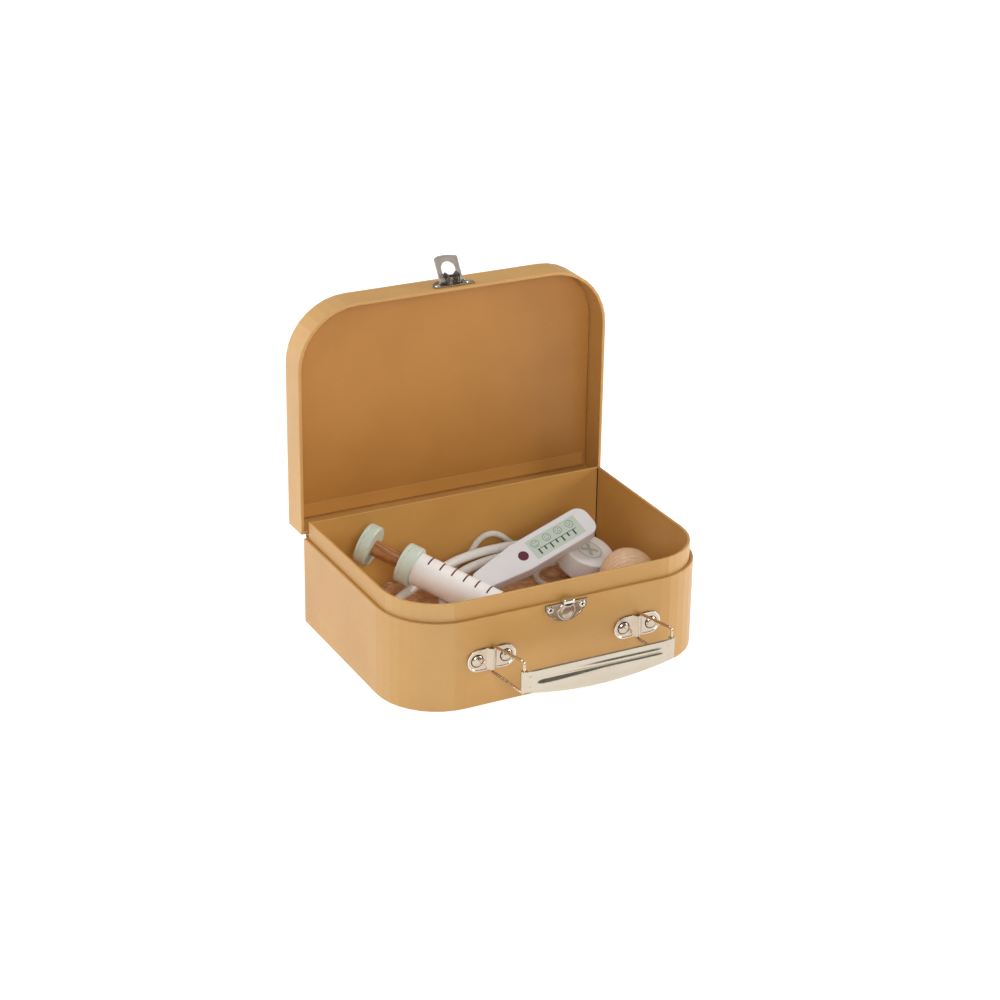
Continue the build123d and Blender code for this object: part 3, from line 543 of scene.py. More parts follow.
@dataclass(frozen=True)
class CottonBraid:
    """Braided unbleached cotton: matt, with a soft nap, darker in a fine yarn pattern as painted shade between the
    yarns, and in slow clouds.
    """

    name: str = "braided_cotton"
    colour: str = "#EDE8DE"
    dark_tone_and_gap_shade: str = "#B8AB95"

    def make(self) -> bpy.types.Material:
        """Build the material."""
        material, tree, coord = start_material(self.name)
        yarn = ramp(tree, speckle(tree, coord, 0.22, 3, (3, 1, 1), (20, 30, 40)), 0.3, 0.7)
        # painted shade: a fine yarn pattern darkens the colour, standing in for shade between the yarns
        colour = tint(tree, combine(tree, yarn, 0.45), self.colour, self.dark_tone_and_gap_shade)
        cloud = ramp(tree, speckle(tree, coord, 12, 2), 0.4, 0.7)
        colour = tint(tree, combine(tree, cloud, 0.2), colour, self.dark_tone_and_gap_shade)
        normal = rough_normal(tree, yarn, 0.06)
        return close_material(material, {"Base Color": colour, "Roughness": 0.85, "Normal": normal,
                                         "Sheen Weight": 0.25, "Sheen Roughness": 0.5})


@dataclass(frozen=True)
class PrintInk:
    """Pad-printed ink: a thin flat film, a little uneven where the pad lifted."""

    name: str
    colour: str
    thin: str

    def make(self) -> bpy.types.Material:
        """Build the material."""
        material, tree, coord = start_material(self.name)
        patch = ramp(tree, speckle(tree, coord, 0.9, 4), 0.4, 0.75)
        colour = tint(tree, combine(tree, patch, 0.35), self.colour, self.thin)
        return close_material(material, {"Base Color": colour, "Roughness": 0.42, "IOR": 1.5})


@dataclass(frozen=True)
class StudioFloor:
    """White acrylic sweep lit from below: even, with the faintest mottling, and next to no shadow on it."""

    name: str = "white_sweep"
    glow: float = 0.72

    def make(self) -> bpy.types.Material:
        """Build the material."""
        material, tree, coord = start_material(self.name)
        colour = tint(tree, speckle(tree, coord, 60, 2), "#C8C8C8", "#C4C4C4")
        return close_material(material, {"Base Color": colour, "Roughness": 0.9, "Specular IOR Level": 0.1,
                                         "Emission Color": linear("#FFFFFF"), "Emission Strength": self.glow})


class Finishes:
    """Every finish of the case, each made once."""

    def __init__(self) -> None:
        """Build the materials."""
        # the scored corner faces of the board, rim and liner are painted paler as highlight
        self.board = KraftBoard("kraft_board_outer", "#C0914E", "#B58543", flat_highlight=0.13).make()
        self.rim = KraftBoard("kraft_board_lid_rim", "#C69754", "#BB8A48", wear=0.8, flat_highlight=0.15).make()
        # the lid lining's own paper, darker also as painted shade inside the lid
        self.lid_lining = KraftBoard("kraft_lining_lid", "#B9803A", "#AD7530", rough=0.5, coat=0.0).make()
        # the liner's inward faces are painted lighter than its outward ones: painted light
        self.liner = KraftBoard("kraft_board_liner", "#D09D53", "#C48F49", rough=0.45, coat=0.1, flat_highlight=0.3,
                                outer="#BC8D4C").make()
        self.tape = KraftBoard("kraft_hinge_tape", "#C08E4E", "#B38040", pale_wear_and_highlight="#E9D6B2", wear=1.0).make()
        self.strip = KraftBoard("kraft_hinge_strip", "#C88F48", "#BC823D", pale_wear_and_highlight="#DDB47C", wear=1.0).make()
        self.paper = KraftPaper().make()
        self.nickel = NickelPlate("nickel_plate_pressed", "#C6BCAB", 0.22).make()
        # a lighter copy of the nickel for the raised rims, rivet heads and hook: painted highlight
        self.lit_nickel = NickelPlate("nickel_plate_painted_highlight", "#DCD5C9", 0.15, 0.2).make()
        self.wire = NickelPlate("nickel_wire_worn", "#CDBBA2", 0.2, 0.1).make()
        self.bracket = NickelPlate("nickel_plate_brackets", "#C6B7A5", 0.2, 0.25).make()
        # painted shade: the dark finish of pieces set where there is only shade
        self.bore = PaintedShadeBlack().make()
        # the latch's bridge: dark as painted shade, its edges pale with wear and painted highlight
        self.bridge = PaintedShadeBlack("latch_bridge_painted_shade", 1.0).make()
        self.satin = NickelPlate("nickel_plate_satin", "#CFC6BB", 0.42, 0.25).make()
        # a darker copy of the nickel for the flat plates and the cup: painted shade
        self.shaded_nickel = NickelPlate("nickel_plate_painted_shade", "#B9AA9A", 0.2, 0.25).make()
        self.sage = Lacquer("sage_lacquer_on_wood", "#CDD8C9", "#BCC9B7", Grain.SYRINGE).make()
        self.white = Lacquer("white_lacquer_on_wood", "#F1EFEC", "#E4E1DC", Grain.SYRINGE).make()
        self.cool_white = Lacquer("cool_white_lacquer_on_wood", "#DFDEE0", "#D3D1D2", Grain.SYRINGE).make()
        self.brown = OpenGrainWood("oiled_brown_wood", "#C18550", "#935A32", "#5A351B", Grain.SYRINGE).make()
        self.brown_hammer = OpenGrainWood("oiled_brown_dowel", "#C18550", "#935A32", "#5A351B",
                                          Grain.HAMMER).make()
        self.beech = OpenGrainWood("bare_beech", "#E2C19D", "#CDA079", "#A0724B", Grain.HAMMER, 0.5, 3.0, 0.5).make()
        self.tube = SoftPvc("white_pvc_tube", "#F0EFEA").make()
        self.tip = SoftPvc("white_ear_tip", "#F3F2EE", 0.3).make()
        self.cotton = CottonBraid().make()
        self.maroon = PrintInk("maroon_ink", "#571125", "#682034").make()
        self.green = PrintInk("sage_ink", "#BCC9BC", "#C6D1C5").make()
        self.faint = PrintInk("grey_ink", "#68665C", "#7C7A70").make()
        self.dark = PrintInk("black_ink", "#35302E", "#4A4440").make()
        self.floor = StudioFloor().make()


# ---------------------------------------------------------------- mesh work


def add_piece(name: str, part: Part, material: bpy.types.Material, body: Body,
              stands_for: tuple[str, ...] = (), crease: float = 40.0) -> bpy.types.Object:
    """Make a mesh piece that rides on a body.

    Args:
        name: Name of the piece.
        part: Its corners and faces.
        material: Its finish.
        body: Body that it rides on.
        stands_for: CAD nodes that it replaces.
        crease: Angle in degrees above which an edge stays sharp.

    Returns:
        The piece.
    """
    mesh = bpy.data.meshes.new(name)
    points, faces = part
    mesh.from_pydata([tuple(MM * c for c in p) for p in points], [], faces)
    mesh.validate()
    mesh.polygons.foreach_set("use_smooth", [True] * len(mesh.polygons))
    mesh.set_sharp_from_angle(angle=math.radians(crease))
    mesh.materials.append(material)
    piece = bpy.data.objects.new(name, mesh)
    bpy.context.scene.collection.objects.link(piece)
    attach(piece, body.value)
    if stands_for:
        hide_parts(*stands_for)
    LOG.info("%s: %d faces on %s", name, len(faces), body.value)
    return piece


def joined(parts: list[Part]) -> Part:
    """Join several meshes to one list of corners and faces.

    Args:
        parts: Corners and faces of each.

    Returns:
        Corners and faces of all.
    """
    points, faces, start = [], [], 0
    for corners, polygons in parts:
        corners = np.asarray(corners, float)
        points.append(corners)
        faces += [tuple(start + i for i in f) for f in polygons]
        start += len(corners)
    return np.concatenate(points), faces


def placed(part: Part, place: Matrix) -> Part:
    """Move a mesh by a matrix.

    Args:
        part: Corners and faces.
        place: Matrix in millimetres.

    Returns:
        Corners and faces in their new place.
    """
    matrix = np.array(place)
    corners = np.asarray(part[0], float) @ matrix[:3, :3].T + matrix[:3, 3]
    return corners, part[1]


def rounded(profile: list[Point], steps: int = 5) -> list[Flat]:
    """Round the corners of an open outline.

    Args:
        profile: Points as x, y and the corner's rounding.
        steps: Points along each rounding.

    Returns:
        The rounded outline.
    """
    out = [profile[0][:2]]
    for before, at, after in zip(profile, profile[1:], profile[2:]):
        here = Vector(at[:2])
        a, b = Vector(before[:2]) - here, Vector(after[:2]) - here
        reach = min(at[2], 0.49 * a.length, 0.49 * b.length)
        if reach <= 0:
            out.append(at[:2])
            continue
        start, end = here + a.normalized() * reach, here + b.normalized() * reach
        for i in range(steps + 1):
            t = i / steps
            p = start * (1 - t) ** 2 + here * 2 * t * (1 - t) + end * t ** 2
            out.append((p.x, p.y))
    out.append(profile[-1][:2])
    return out


def turned(profile: list[Flat], steps: int = 96) -> Part:
    """Turn an outline of radius and height about z.

    Args:
        profile: Radius and height of each point, from one end to the other.
        steps: Points round the axis.

    Returns:
        Corners and faces.
    """
    points: list[Point] = []
    rings: list[list[int]] = []
    for radius, height in profile:
        if radius < 1e-6:
            rings.append([len(points)])
            points.append((0.0, 0.0, height))
            continue
        rings.append(list(range(len(points), len(points) + steps)))
        for k in range(steps):
            a = 2 * math.pi * k / steps
            points.append((radius * math.cos(a), radius * math.sin(a), height))
    faces: Faces = []
    for low, high in zip(rings, rings[1:]):
        for k in range(steps):
            n = (k + 1) % steps
            if len(low) == 1 and len(high) > 1:
                faces.append((low[0], high[n], high[k]))
            elif len(high) == 1 and len(low) > 1:
                faces.append((low[k], low[n], high[0]))
            elif len(low) > 1:
                faces.append((low[k], low[n], high[n], high[k]))
    return np.array(points), faces


def ring_stack(rings: list[np.ndarray], cap_start: bool = True, cap_end: bool = True) -> Part:
    """Skin closed rings of equal count in order.

    Args:
        rings: Corners of each ring.
        cap_start: Close the first ring with a face.
        cap_end: Close the last ring with a face.

    Returns:
        Corners and faces.
    """
    count = len(rings[0])
    faces: Faces = []
    for r in range(len(rings) - 1):
        a, b = r * count, (r + 1) * count
        for k in range(count):
            n = (k + 1) % count
            faces.append((a + k, a + n, b + n, b + k))
    if cap_start:
        faces.append(tuple(range(count - 1, -1, -1)))
    if cap_end:
        faces.append(tuple(range((len(rings) - 1) * count, len(rings) * count)))
    return np.concatenate(rings), faces


def sheet_grid(front: np.ndarray, back: np.ndarray) -> Part:
    """Close two layers of a pressed sheet to one skin.

    Args:
        front: Grid of corners, rows by columns by three.
        back: The same grid on the other side.

    Returns:
        Corners and faces.
    """
    rows, cols = front.shape[:2]
    size = rows * cols
    faces: Faces = []
    for r in range(rows - 1):
        for c in range(cols - 1):
            a = r * cols + c
            faces.append((a, a + 1, a + cols + 1, a + cols))
            faces.append((size + a, size + a + cols, size + a + cols + 1, size + a + 1))
    rim = [c for c in range(cols)]
    rim += [r * cols + cols - 1 for r in range(1, rows)]
    rim += [(rows - 1) * cols + c for c in range(cols - 2, -1, -1)]
    rim += [r * cols for r in range(rows - 2, 0, -1)]
    for a, b in zip(rim, rim[1:] + rim[:1]):
        faces.append((b, a, size + a, size + b))
    return np.concatenate([front.reshape(-1, 3), back.reshape(-1, 3)]), faces


def flat_print(outline: list[Flat], place: Matrix, hole: list[Flat] | None = None,
               lift: float = 0.03) -> Part:
    """Thin film of ink on a flat face.

    Args:
        outline: Outer outline on the face.
        place: The face's place.
        hole: Inner outline with as many points, for a ring.
        lift: Thickness of the film, drawn thicker than the real one so that it shows.

    Returns:
        Corners and faces.
    """
    low = [(x, y, -0.1) for x, y in outline]
    top = [(x, y, lift) for x, y in outline]
    if hole is None:
        part = ring_stack([np.array(low), np.array(top)])
    else:
        inner = [np.array([(x, y, z) for x, y in hole]) for z in (lift, -0.1)]
        part = ring_stack([np.array(low), np.array(top)] + inner, False, False)
    return placed(part, place)


def hump(distance: float, width: float) -> float:
    """Soft ridge across a sheet.

    Args:
        distance: How far the point is from the ridge's middle.
        width: Distance at which about a third of its height is left.

    Returns:
        1 at the middle, falling to 0.
    """
    return math.exp(-((distance / width) ** 2))


def circle(radius: float, x: float = 0.0, y: float = 0.0, steps: int = 48, start: float = 0.0,
           sweep: float = 360.0) -> list[Flat]:
    """Points round a circle or along an arc of it.

    Args:
        radius: Radius.
        x: Centre's x.
        y: Centre's y.
        steps: Number of points.
        start: First angle in degrees.
        sweep: Angle covered.

    Returns:
        The points.
    """
    closed = abs(sweep) >= 360
    count = steps if closed else steps - 1
    angles = [math.radians(start + sweep * k / count) for k in range(steps)]
    return [(x + radius * math.cos(a), y + radius * math.sin(a)) for a in angles]


# ---------------------------------------------------------------- studio


@dataclass(frozen=True)
class SoftBox:
    """Square soft box, in metres and watts."""

    name: str
    at: Point
    target: Point
    side: float
    power: float
    colour: str = "#FFFFFF"

    def hang(self) -> None:
        """Make the light and turn it to its target."""
        data = bpy.data.lights.new(self.name, "AREA")
        data.shape = "RECTANGLE"
        data.size = data.size_y = self.side
        data.energy = self.power
        data.color = linear(self.colour)[:3]
        light = bpy.data.objects.new(self.name, data)
        bpy.context.scene.collection.objects.link(light)
        light.location = self.at
        light.rotation_mode = "QUATERNION"
        light.rotation_quaternion = (Vector(self.target) - Vector(self.at)).to_track_quat("-Z", "Y")


@dataclass
class Studio:
    """Camera, sweep, sky and soft boxes."""

    eye: Point = (-0.7666, -1.4446, 0.8364)
    yaw: float = 27.707
    pitch: float = 23.957
    roll: float = 0.911
    lens: float = 89.145
    sensor: float = 36.0
    clip_end: float = 60.0
    floor_size: float = 14.0
    floor_z: float = -0.0004  # a hair under the case, so that the two share no plane
    sky_towards: Point = (-0.50, 0.30, 0.81)  # the brighter side of the room
    sky_dim: float = 0.16
    sky_bright: float = 0.55
    boxes: tuple[SoftBox, ...] = (
        SoftBox("front_right", (2.4, -0.62, 1.0), (0, 0, 0.1), 0.9, 38, "#FFFDFA"),
        SoftBox("back_left", (-1.9, 1.5, 1.0), (0, 0, 0.1), 1.0, 25, "#FFFDF8"),
        SoftBox("front", (-0.55, -1.65, 0.95), (0, 0, 0), 0.7, 12.5),
        SoftBox("overhead", (-0.3, 0.6, 2.1), (0, 0, 0.1), 0.8, 11.5))

    def set_camera(self) -> None:
        """Make the camera and aim it."""
        data = bpy.data.cameras.new("studio_camera")
        data.lens = self.lens
        data.sensor_width = self.sensor
        data.sensor_fit = "HORIZONTAL"
        data.clip_end = self.clip_end
        camera = bpy.data.objects.new("studio_camera", data)
        bpy.context.scene.collection.objects.link(camera)
        aim = Matrix.Rotation(math.radians(-self.yaw), 4, "Z")
        aim @= Matrix.Rotation(math.radians(90 - self.pitch), 4, "X")
        aim @= Matrix.Rotation(math.radians(self.roll), 4, "Z")
        camera.matrix_world = Matrix.Translation(self.eye) @ aim
        bpy.context.scene.camera = camera

    def lay_sweep(self, finishes: Finishes) -> None:
        """Lay the white sweep under the case.

        Args:
            finishes: The finishes.
        """
        half, z = self.floor_size / 2, self.floor_z
        mesh = bpy.data.meshes.new("white_sweep")
        mesh.from_pydata([(-half, -half, z), (half, -half, z), (half, half, z), (-half, half, z)], [],
                         [(0, 1, 2, 3)])
        mesh.materials.append(finishes.floor)
        floor = bpy.data.objects.new("white_sweep", mesh)
        bpy.context.scene.collection.objects.link(floor)

    def set_sky(self) -> None:
        """Fill the room with soft light that is brighter on one side."""
        world = bpy.data.worlds.new("white_studio")
        world.use_nodes = True
        tree = world.node_tree
        tree.nodes.clear()
        coord = add_node(tree, "ShaderNodeTexCoord")
        towards = add_node(tree, "ShaderNodeVectorMath", {0: coord.outputs["Generated"], 1: self.sky_towards},
                           operation="DOT_PRODUCT")
        tone = ramp(tree, towards.outputs["Value"], -0.1, 0.9, self.sky_dim, self.sky_bright)
        sky = add_node(tree, "ShaderNodeBackground", {"Color": linear("#FFFFFF"), "Strength": tone})
        add_node(tree, "ShaderNodeOutputWorld", {"Surface": sky.outputs[0]})
        bpy.context.scene.world = world

    def set_lights(self, finishes: Finishes) -> None:
        """Lay the sweep and light it.

        Args:
            finishes: The finishes.
        """
        self.lay_sweep(finishes)
        self.set_sky()
        for box in self.boxes:
            box.hang()
        bpy.context.scene.view_settings.view_transform = "Standard"
        bpy.context.scene.view_settings.look = "None"


# ---------------------------------------------------------------- stethoscope


@dataclass
class Stethoscope:
    """Braided cord and turned chest piece with its print; the yoke, tubes and ear tips are the frame's."""

    cord_r: float = 2.3
    cord_l: float = 457.7
    strands: int = 8  # each way round
    lay: float = 15.0  # length of one turn of a strand
    strand_r: float = 0.62
    strand_sides: int = 6
    strand_wide: float = 1.05  # a pressed strand's width and thickness, as shares of its radius
    strand_thin: float = 0.62
    strand_in: float = 0.42  # how far the strands' middles lie inside the cord
    weave: float = 0.20  # how far they rise and dip as they cross
    core_in: float = 0.35
    spacing: float = 0.7  # between the points of the centre line
    face: Point = (81.7, 24.0, 43.7)
    chest_turn: float = -58.0
    chest_tilt: float = 21.3
    chest_r: float = 20.1
    chest_t: float = 17.4
    disc_r: float = 10.6
    disc_in: float = 0.8  # how far the disc's seat is sunk
    edge: float = 1.6  # rounding of the turned edges
    band_out: float = 10.1
    band_in: float = 8.9
    cross_arm: float = 7.2
    cross_half: float = 1.5
    route: tuple[Point, ...] = (
        (62.83, 52.01, 34.15), (74.2, 46.2, 33.2), (85.9, 49.6, 31.4), (92.0, 59.3, 29.8), (90.3, 71.0, 28.6),
        (81.4, 78.8, 28.2), (66.0, 78.8, 28.6), (47.8, 78.8, 29.2), (31.4, 78.8, 45.8), (16.2, 78.8, 44.4),
        (7.2, 78.8, 30.0), (-7.6, 75.2, 26.6), (-14.0, 62.6, 24.8), (-19.4, 53.0, 23.7), (-28.0, 43.0, 22.6),
        (-34.6, 31.0, 21.4), (-37.4, 17.0, 20.0), (-35.4, 2.0, 18.5), (-29.4, -12.0, 17.0), (-20.4, -25.4, 15.6),
        (-8.0, -36.0, 14.8), (7.0, -42.4, 14.4), (24.0, -42.0, 14.4), (41.0, -35.6, 15.4), (52.8, -23.0, 17.0),
        (56.0, -8.0, 18.8), (50.0, 6.6, 21.4), (41.6, 20.2, 23.4), (40.9, 35.3, 24.8), (50.4, 45.6, 26.0),
        (64.4, 45.2, 27.8), (72.7, 34.5, 33.8))

    def route_curve(self, name: str, points: tuple[Point, ...], radius: float) -> bpy.types.Object:
        """Smooth curve along a route.

        Args:
            name: Curve's name.
            points: Control points in millimetres.
            radius: Its thickness as a tube, 0 for a bare line.

        Returns:
            The curve object, not yet riding on anything.
        """
        data = bpy.data.curves.new(name, "CURVE")
        data.dimensions = "3D"
        data.resolution_u = 10
        data.bevel_depth = radius * MM
        data.bevel_resolution = 5
        data.use_fill_caps = radius > 0
        spline = data.splines.new("NURBS")
        spline.points.add(len(points) - 1)
        for target, p in zip(spline.points, points):
            target.co = (p[0] * MM, p[1] * MM, p[2] * MM, 1.0)
        spline.order_u = 3
        spline.use_endpoint_u = True
        curve = bpy.data.objects.new(name, data)
        bpy.context.scene.collection.objects.link(curve)
        return curve

    def centre_line(self, curve: bpy.types.Object) -> np.ndarray:
        """Points of a bevel-less copy of the curve, evenly spaced.

        Args:
            curve: The cord's curve.

        Returns:
            Points in millimetres.
        """
        bare = curve.copy()
        bare.data = curve.data.copy()
        bare.data.bevel_depth = 0.0
        bare.data.resolution_u = 16
        bpy.context.scene.collection.objects.link(bare)
        bpy.context.view_layer.update()
        mesh = bpy.data.meshes.new_from_object(bare.evaluated_get(bpy.context.evaluated_depsgraph_get()))
        line = np.array([tuple(v.co) for v in mesh.vertices]) / MM
        bpy.data.objects.remove(bare)
        step = np.linalg.norm(np.diff(line, axis=0), axis=1)
        along = np.concatenate([[0], np.cumsum(step)])
        even = np.linspace(0, along[-1], int(along[-1] / self.spacing) + 1)
        return np.stack([np.interp(even, along, line[:, k]) for k in range(3)], axis=1)

    def braid(self, line: np.ndarray) -> Part:
        """Strands that cross over and under along a line.

        Args:
            line: Evenly spaced points in millimetres.

        Returns:
            Corners and faces of all strands.
        """
        tangent = np.gradient(line, axis=0)
        tangent /= np.linalg.norm(tangent, axis=1)[:, None]
        side = np.zeros_like(line)
        first = np.cross(tangent[0], (0, 0, 1.0))
        side[0] = first / np.linalg.norm(first)
        for i in range(1, len(line)):
            s = side[i - 1] - tangent[i] * (side[i - 1] @ tangent[i])
            side[i] = s / np.linalg.norm(s)
        other = np.cross(tangent, side)
        run = np.arange(len(line)) * self.spacing
        parts = []
        for way in (1, -1):
            for k in range(self.strands):
                angle = way * (2 * math.pi * run / self.lay) + 2 * math.pi * k / self.strands
                crossing = np.cos(self.strands * angle + (0 if way > 0 else math.pi))
                radius = self.cord_r - self.strand_in + self.weave * crossing
                out = side * np.cos(angle)[:, None] + other * np.sin(angle)[:, None]
                centre = line + out * radius[:, None]
                course = np.gradient(centre, axis=0)
                course /= np.linalg.norm(course, axis=1)[:, None]
                flat = np.cross(course, out)
                rings = []
                for i in range(self.strand_sides):
                    a = 2 * math.pi * i / self.strand_sides
                    rings.append(centre + flat * (math.cos(a) * self.strand_r * self.strand_wide)
                                 + out * (math.sin(a) * self.strand_r * self.strand_thin))
                rings_by_point = np.stack(rings, axis=1)
                parts.append(ring_stack([rings_by_point[i] for i in range(len(line))]))
        return joined(parts)

    def make_cord(self, finishes: Finishes) -> None:
        """Lay the cord's core and braid it.

        Args:
            finishes: The finishes.
        """
        core = self.route_curve("stethoscope_cord_core", self.route, self.cord_r - self.core_in)
        core.data.materials.append(finishes.cotton)
        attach(core, Body.CASE.value)
        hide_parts("stethoscope_rope")
        braid = self.braid(self.centre_line(core))
        strands = add_piece("stethoscope_cord_braid", braid, finishes.cotton, Body.CASE, (), 60)

    def make_chest_piece(self, finishes: Finishes) -> None:
        """Turn the chest piece and print its disc.

        Args:
            finishes: The finishes.
        """
        place = frame_at(self.face, heading(self.chest_turn, self.chest_tilt - 90))
        r, t = self.chest_r, self.chest_t
        body = rounded([(0, -self.disc_in, 0), (self.disc_r, -self.disc_in, 0), (self.disc_r, 0, 0.3),
                        (r, 0, self.edge), (r, -t, self.edge), (0, -t, 0)])
        add_piece("chest_piece_turned", placed(turned(body, 128), place), finishes.white, Body.CASE,
                  ("chest_piece",))
        band = flat_print(circle(self.band_out, steps=72), place, circle(self.band_in, steps=72))
        arm, width, slant = self.cross_arm, self.cross_half, math.radians(45)
        cross = [(arm, width), (width, width), (width, arm), (-width, arm), (-width, width), (-arm, width),
                 (-arm, -width), (-width, -width), (-width, -arm), (width, -arm), (width, -width), (arm, -width)]
        mark = flat_print([(x * math.cos(slant) - y * math.sin(slant), x * math.sin(slant) + y * math.cos(slant))
                           for x, y in cross], place)
        add_piece("chest_piece_print", joined([band, mark]), finishes.green, Body.CASE)


# ---------------------------------------------------------------- syringe


@dataclass
class Syringe:
    """Toy syringe: turned knob and flange with grooves, and the barrel's scale."""

    knob: Point = (-81.7, 66.8, 62.4)
    turn: float = -49.7
    dip: float = 16.6
    knob_r: float = 15.9
    knob_t: float = 9.4
    flange_at: float = 34.6
    flange_r: float = 15.4
    flange_t: float = 11.8
    rod_r: float = 6.1
    barrel_r: float = 12.4
    edge: float = 1.9  # rounding of the turned edges
    groove: float = 0.42
    groove_half: float = 0.4
    knob_groove: float = 2.9  # from the outer face
    flange_groove: float = 3.4
    play: float = 0.3  # of the rod in the flange
    first_tick: float = 49.4
    tick_step: float = 9.7
    tick_half: float = 0.6
    tick_from: float = 119.0
    tick_sweep: float = 66.0
    ticks: int = 7
    ink: float = 0.035

    def place(self) -> Matrix:
        """Frame along the syringe's axis from the knob's centre."""
        return frame_at(self.knob, heading(self.turn, self.dip))

    def grooved_side(self, radius: float, low: float, high: float, cut: float) -> list[Point]:
        """Outline of a turned side with soft edges and one groove.

        Args:
            radius: Radius of the side.
            low: Its low end.
            high: Its high end.
            cut: Height of the groove.

        Returns:
            Points as radius, height and the corner's rounding.
        """
        return [(radius, low, self.edge), (radius, cut - self.groove_half, 0), (radius - self.groove, cut, 0.1),
                (radius, cut + self.groove_half, 0), (radius, high, self.edge)]

    def make_knob(self, finishes: Finishes) -> None:
        """Turn the knob with a groove near its outer face.

        Args:
            finishes: The finishes.
        """
        half = self.knob_t / 2
        side = self.grooved_side(self.knob_r, -half, half, -half + self.knob_groove)
        outline = rounded([(0, -half, 0), *side, (0, half, 0)])
        add_piece("plunger_knob_turned", placed(turned(outline, 120), self.place()), finishes.sage, Body.PLUNGER,
                  ("plunger_knob",))

    def make_flange(self, finishes: Finishes) -> None:
        """Turn the flange with its groove and the rod's hole.

        Args:
            finishes: The finishes.
        """
        low, high = self.flange_at - self.flange_t / 2, self.flange_at + self.flange_t / 2
        bore = self.rod_r + self.play
        side = self.grooved_side(self.flange_r, low, high, low + self.flange_groove)
        outline = rounded([(bore, high, 0), (bore, low, 0.4), *side, (bore, high, 0)])
        add_piece("syringe_flange_turned", placed(turned(outline, 120), self.place()), finishes.sage, Body.CASE,
                  ("syringe_flange",))

    def print_scale(self, finishes: Finishes) -> None:
        """Print the scale's strokes round the barrel.

        Args:
            finishes: The finishes.
        """
        parts = []
        half = self.tick_half
        for k in range(self.ticks):
            at = self.first_tick + k * self.tick_step
            rings = []
            for i in range(15):
                a = math.radians(self.tick_from - self.tick_sweep * i / 14)
                out = np.array((math.cos(a), math.sin(a), 0))
                corners = [(-half, -0.1), (half, -0.1), (half, self.ink), (-half, self.ink)]
                rings.append(np.array([out * (self.barrel_r + lift) + (0, 0, at + w) for w, lift in corners]))
            parts.append(placed(ring_stack(rings), self.place()))
        add_piece("barrel_scale_print", joined(parts), finishes.maroon, Body.CASE)


# ---------------------------------------------------------------- thermometer


